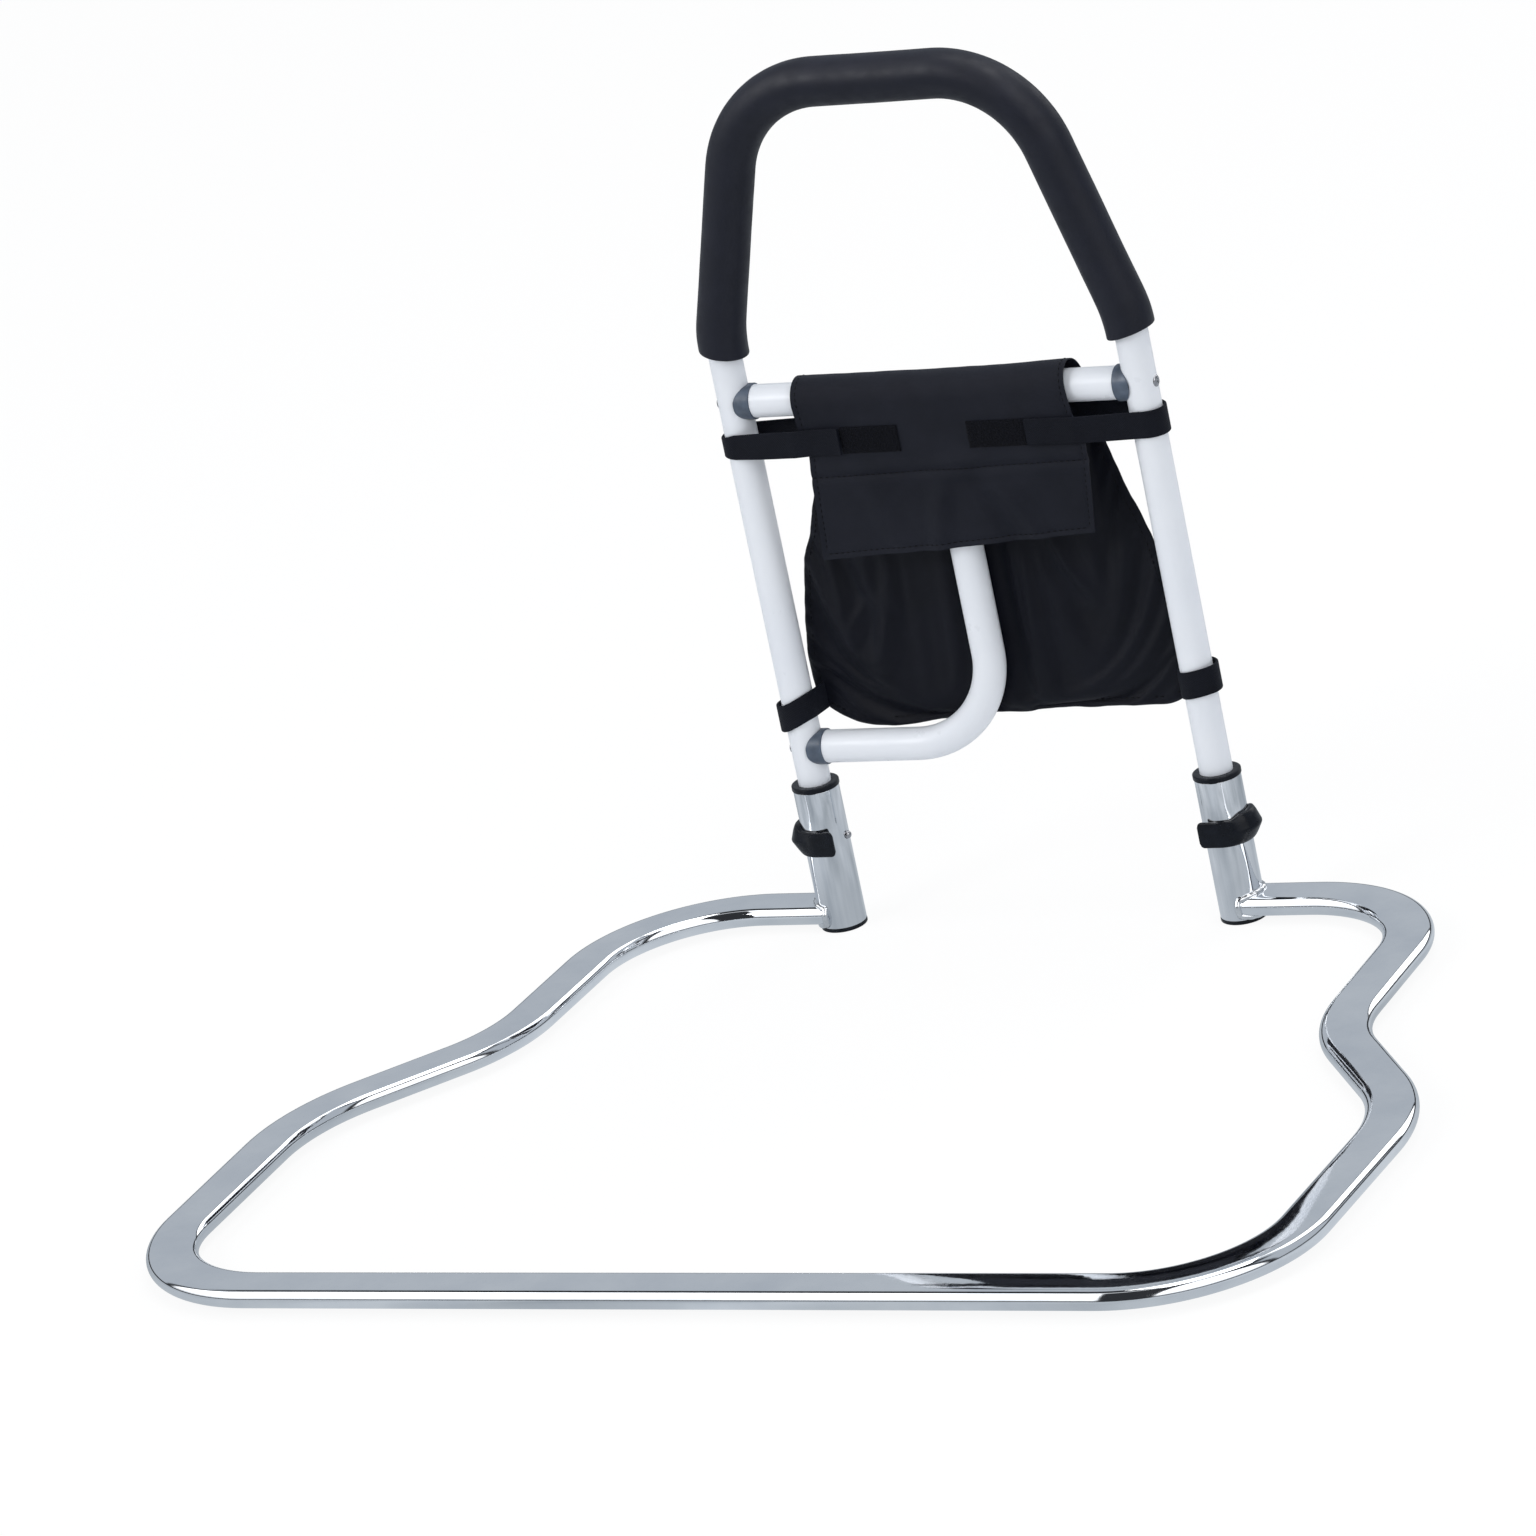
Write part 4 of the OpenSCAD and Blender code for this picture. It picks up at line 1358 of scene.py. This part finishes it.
def build_strap(word, kind, spot, plan, height, width, tilt):
    """A strap of the left or right side. The plan is drawn for the right side, and width(k) is
    the width at share k of the length."""
    frames = strap_frames([(SIDES[word] * x, y, height) for x, y in plan], tilt)

    def section(index):
        return slab_points(STRAP_THICK, width(index / (len(frames) - 1)), 0.8, 3, 10)

    made = sweep(f"{word}_{kind}_strap", frames, section, sharp=70)
    settle(made, "frame", "strap_web", f"{word}_{spot}_strap")


def upper_plan(curl):
    """From the free end on the cover to the right leg, round it, and back behind the cover."""
    plan = []
    for k in range(16):
        away = 2.2 + 0.3 * math.sin(k * 0.5) + curl * (1 - min(1, k / 4)) ** 2
        plan.append((FREE_END_X + k * 2.6, -SLEEVE_R - away))
    plan += [(COVER_END_X + k * STRAP_STEP, -18.6 + k * 0.48) for k in range(10)]
    plan += arc_points(STRAP_R, -math.pi / 2, math.pi / 2, 32, 0.8)
    return plan + [(BACK_START_X - k * STRAP_STEP, STRAP_R + 0.05 * k) for k in range(17)]


def build_straps():
    for word, (rises, curl, pinch) in UPPER_STRAPS.items():

        def tilt(k, rises=rises):
            return rises[0] * smooth_step(k / 0.55) + rises[1] * smooth_step((k - 0.6) / 0.4)

        def width(k, pinch=pinch):
            return STRAP_W * (1 - pinch * hill(k - 0.52, 0.26))

        plan = upper_plan(curl)
        build_strap(word, "bag", "upper", plan, STRAP_Z, width, tilt)

    for word, (at_pouch, at_leg) in LOWER_STRAPS.items():

        def tilt(k, at_pouch=at_pouch, at_leg=at_leg):
            return at_pouch + (at_leg - at_pouch) * smooth_step((k - 0.15) / 0.4)

        plan = wrap_plan((149, POUCH_FRONT_Y), STRAP_R, TAU + math.radians(118), 2.4)
        height = middle(f"{word}_lower_strap").z
        build_strap(word, "tie", "lower", plan, height, lambda k: LOW_STRAP_W, tilt)


def build_patches():
    for word in SIDES:
        low, high = cad_box(f"{word}_hook_patch")

        def patch_point(s, t, low=low, high=high):
            x = low.x + (high.x - low.x) * s
            z = low.z + (high.z - low.z) * t
            rim = min(x - low.x, high.x - x, z - low.z, high.z - z)
            rough = noise.noise(Vector((x, z, 0)) * 1.3) + noise.noise(Vector((x, z, 4)) * 0.7)
            lift = 0.5 * smooth_step(rim / 1.2) + 0.22 * rough * smooth_step((rim - 1.5) / 1.0)
            return Vector((x, -SLEEVE_R - 0.85 - lift, z)), (x, z)

        made = grid_sheet(f"{word}_hook_tape", 110, 46, patch_point, 0.6)
        settle(made, "frame", "hook_tape", f"{word}_hook_patch")


# ---------- Studio ----------

CAMERA_AZIMUTH = math.radians(28.848)
CAMERA_ELEVATION = math.radians(19.393)
CAMERA_ROLL = math.radians(12.025)
CAMERA_DISTANCE = 6.1755
CAMERA_LENS = 201.56
CAMERA_SENSOR = 36
CAMERA_FAR = 60
AIM = Vector((-0.06656, 0.06975, 0.22743))


def build_camera():
    level = math.cos(CAMERA_ELEVATION)
    right = Vector((math.cos(CAMERA_AZIMUTH), math.sin(CAMERA_AZIMUTH), 0))
    back = Vector((level * right.y, -level * right.x, math.sin(CAMERA_ELEVATION)))
    down = (-back).cross(right)
    c, s = math.cos(CAMERA_ROLL), math.sin(CAMERA_ROLL)
    axis_x, axis_y = c * right + s * down, s * right - c * down
    data = bpy.data.cameras.new("studio_camera")
    data.lens = CAMERA_LENS
    data.sensor_width = CAMERA_SENSOR
    data.clip_end = CAMERA_FAR
    camera = add_object("studio_camera", data)
    turned = Matrix((axis_x, axis_y, back)).transposed().to_4x4()
    camera.matrix_world = Matrix.Translation(AIM + CAMERA_DISTANCE * back) @ turned
    bpy.context.scene.camera = camera


def build_floor():
    """A pale floor that looks white from the camera and mid grey in the chrome."""
    half = 30
    mesh = bpy.data.meshes.new("studio_floor")
    corners = [(-half, -half, 0), (half, -half, 0), (half, half, 0), (-half, half, 0)]
    mesh.from_pydata(corners, [], [(0, 1, 2, 3)])
    made = Shader("floor_paper", (0.94, 0.94, 0.945), 0.9)
    made.set("Specular IOR Level", 0.0)
    rays = made.node("ShaderNodeLightPath").outputs
    cloudy = made.noise(2.6, 3, 0.55)
    patches = made.ramp(cloudy, [(0.36, (0.37, 0.405, 0.44)), (0.62, (0.6, 0.64, 0.685))])
    seen = made.surface.outputs[0]
    for ray, share, color in (("Is Camera Ray", 0.9, (1, 1, 1, 1)), ("Is Glossy Ray", 1.0, patches)):
        glow = made.node("ShaderNodeEmission", {"Color": color}).outputs[0]
        share = made.math("MULTIPLY", rays[ray], share)
        seen = made.node("ShaderNodeMixShader", {0: share, 1: seen, 2: glow}).outputs[0]
    made.put(made.tree.nodes["Material Output"].inputs["Surface"], seen)
    mesh.materials.append(made.material)
    add_object("studio_floor", mesh)


def area_light(name, place_at, target, size, power):
    data = bpy.data.lights.new(name, "AREA")
    data.shape = "RECTANGLE"
    data.size, data.size_y = size
    data.energy = power
    lamp = add_object(name, data)
    lamp.location = place_at
    lamp.rotation_euler = (Vector(target) - Vector(place_at)).to_track_quat("-Z", "Y").to_euler()


def build_world():
    """A grey-blue room with a white front half. A dark seam runs over it, wide at the ceiling,
    and a dark line runs round it low down. A dark screen stands in front, and a white one with
    dark edges stands behind at the right."""
    world = bpy.data.worlds.new("studio")
    bpy.context.scene.world = world
    world.use_nodes = True
    made = Nodes(world.node_tree)
    x, y, z = made.apart(made.node("ShaderNodeTexCoord").outputs["Generated"])

    def fade(value, low, high):
        return made.remap(value, low, high, interpolation_type="SMOOTHSTEP")

    def both(first, second):
        return made.math("MULTIPLY", first, second)

    def between(value, low, high, soft):
        return both(fade(value, low, low + soft), fade(value, high, high - soft))

    room, grey, white = (0.45, 0.485, 0.53, 1), (0.72, 0.74, 0.77, 1), (1.78, 1.8, 1.83, 1)
    dark = (0.03, 0.032, 0.036, 1)
    front = made.mix(fade(z, 0.13, 0.40), grey, white)
    front = made.mix(fade(z, 0.88, 0.96), front, grey)
    behind = fade(y, 0.4, 0.5)
    color = made.mix(fade(y, 0.10, 0.02), room, dark)
    for share, shade in (
        (both(fade(y, 0.34, 0.26), fade(z, 0.72, 0.86)), dark),
        (fade(y, -0.02, -0.10), front),
        (both(between(x, -0.36, 0.28, 0.05), fade(y, -0.1, -0.2)), dark),
        (both(between(x, 0.06, 0.57, 0.03), behind), dark),
        (both(between(x, 0.11, 0.51, 0.03), behind), white),
        (fade(z, 0.13, 0.09), dark),
    ):
        color = made.mix(share, color, shade)
    made.put(made.tree.nodes["Background"].inputs["Color"], color)


def build_lights():
    build_world()
    area_light("key_box", (-2.6, -3.6, 3.4), (0, 0.2, 0.3), (1.6, 1.6), 55)
    area_light("top_box", (0.6, 0.6, 4.4), (0, 0, 0.2), (2.4, 2.4), 62)


build_camera()
build_base()
build_welds()
for word, side in SIDES.items():
    build_socket(side, word)
for word, side in SIDES.items():
    build_clip(side, word)
build_handle()
build_foam()
build_bars()
build_fixings()
build_cover_stitches()
build_sleeve()
build_pouch_stitches()
build_pouch()
build_straps()
build_patches()
build_floor()
build_lights()

for node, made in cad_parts.items():
    if node.endswith(("_plug", "_insert")):
        for hidden in made.material_slots:
            hidden.link = "OBJECT"
            hidden.material = MATERIALS["dark_plastic"]

bpy.context.scene.view_settings.view_transform = "Standard"
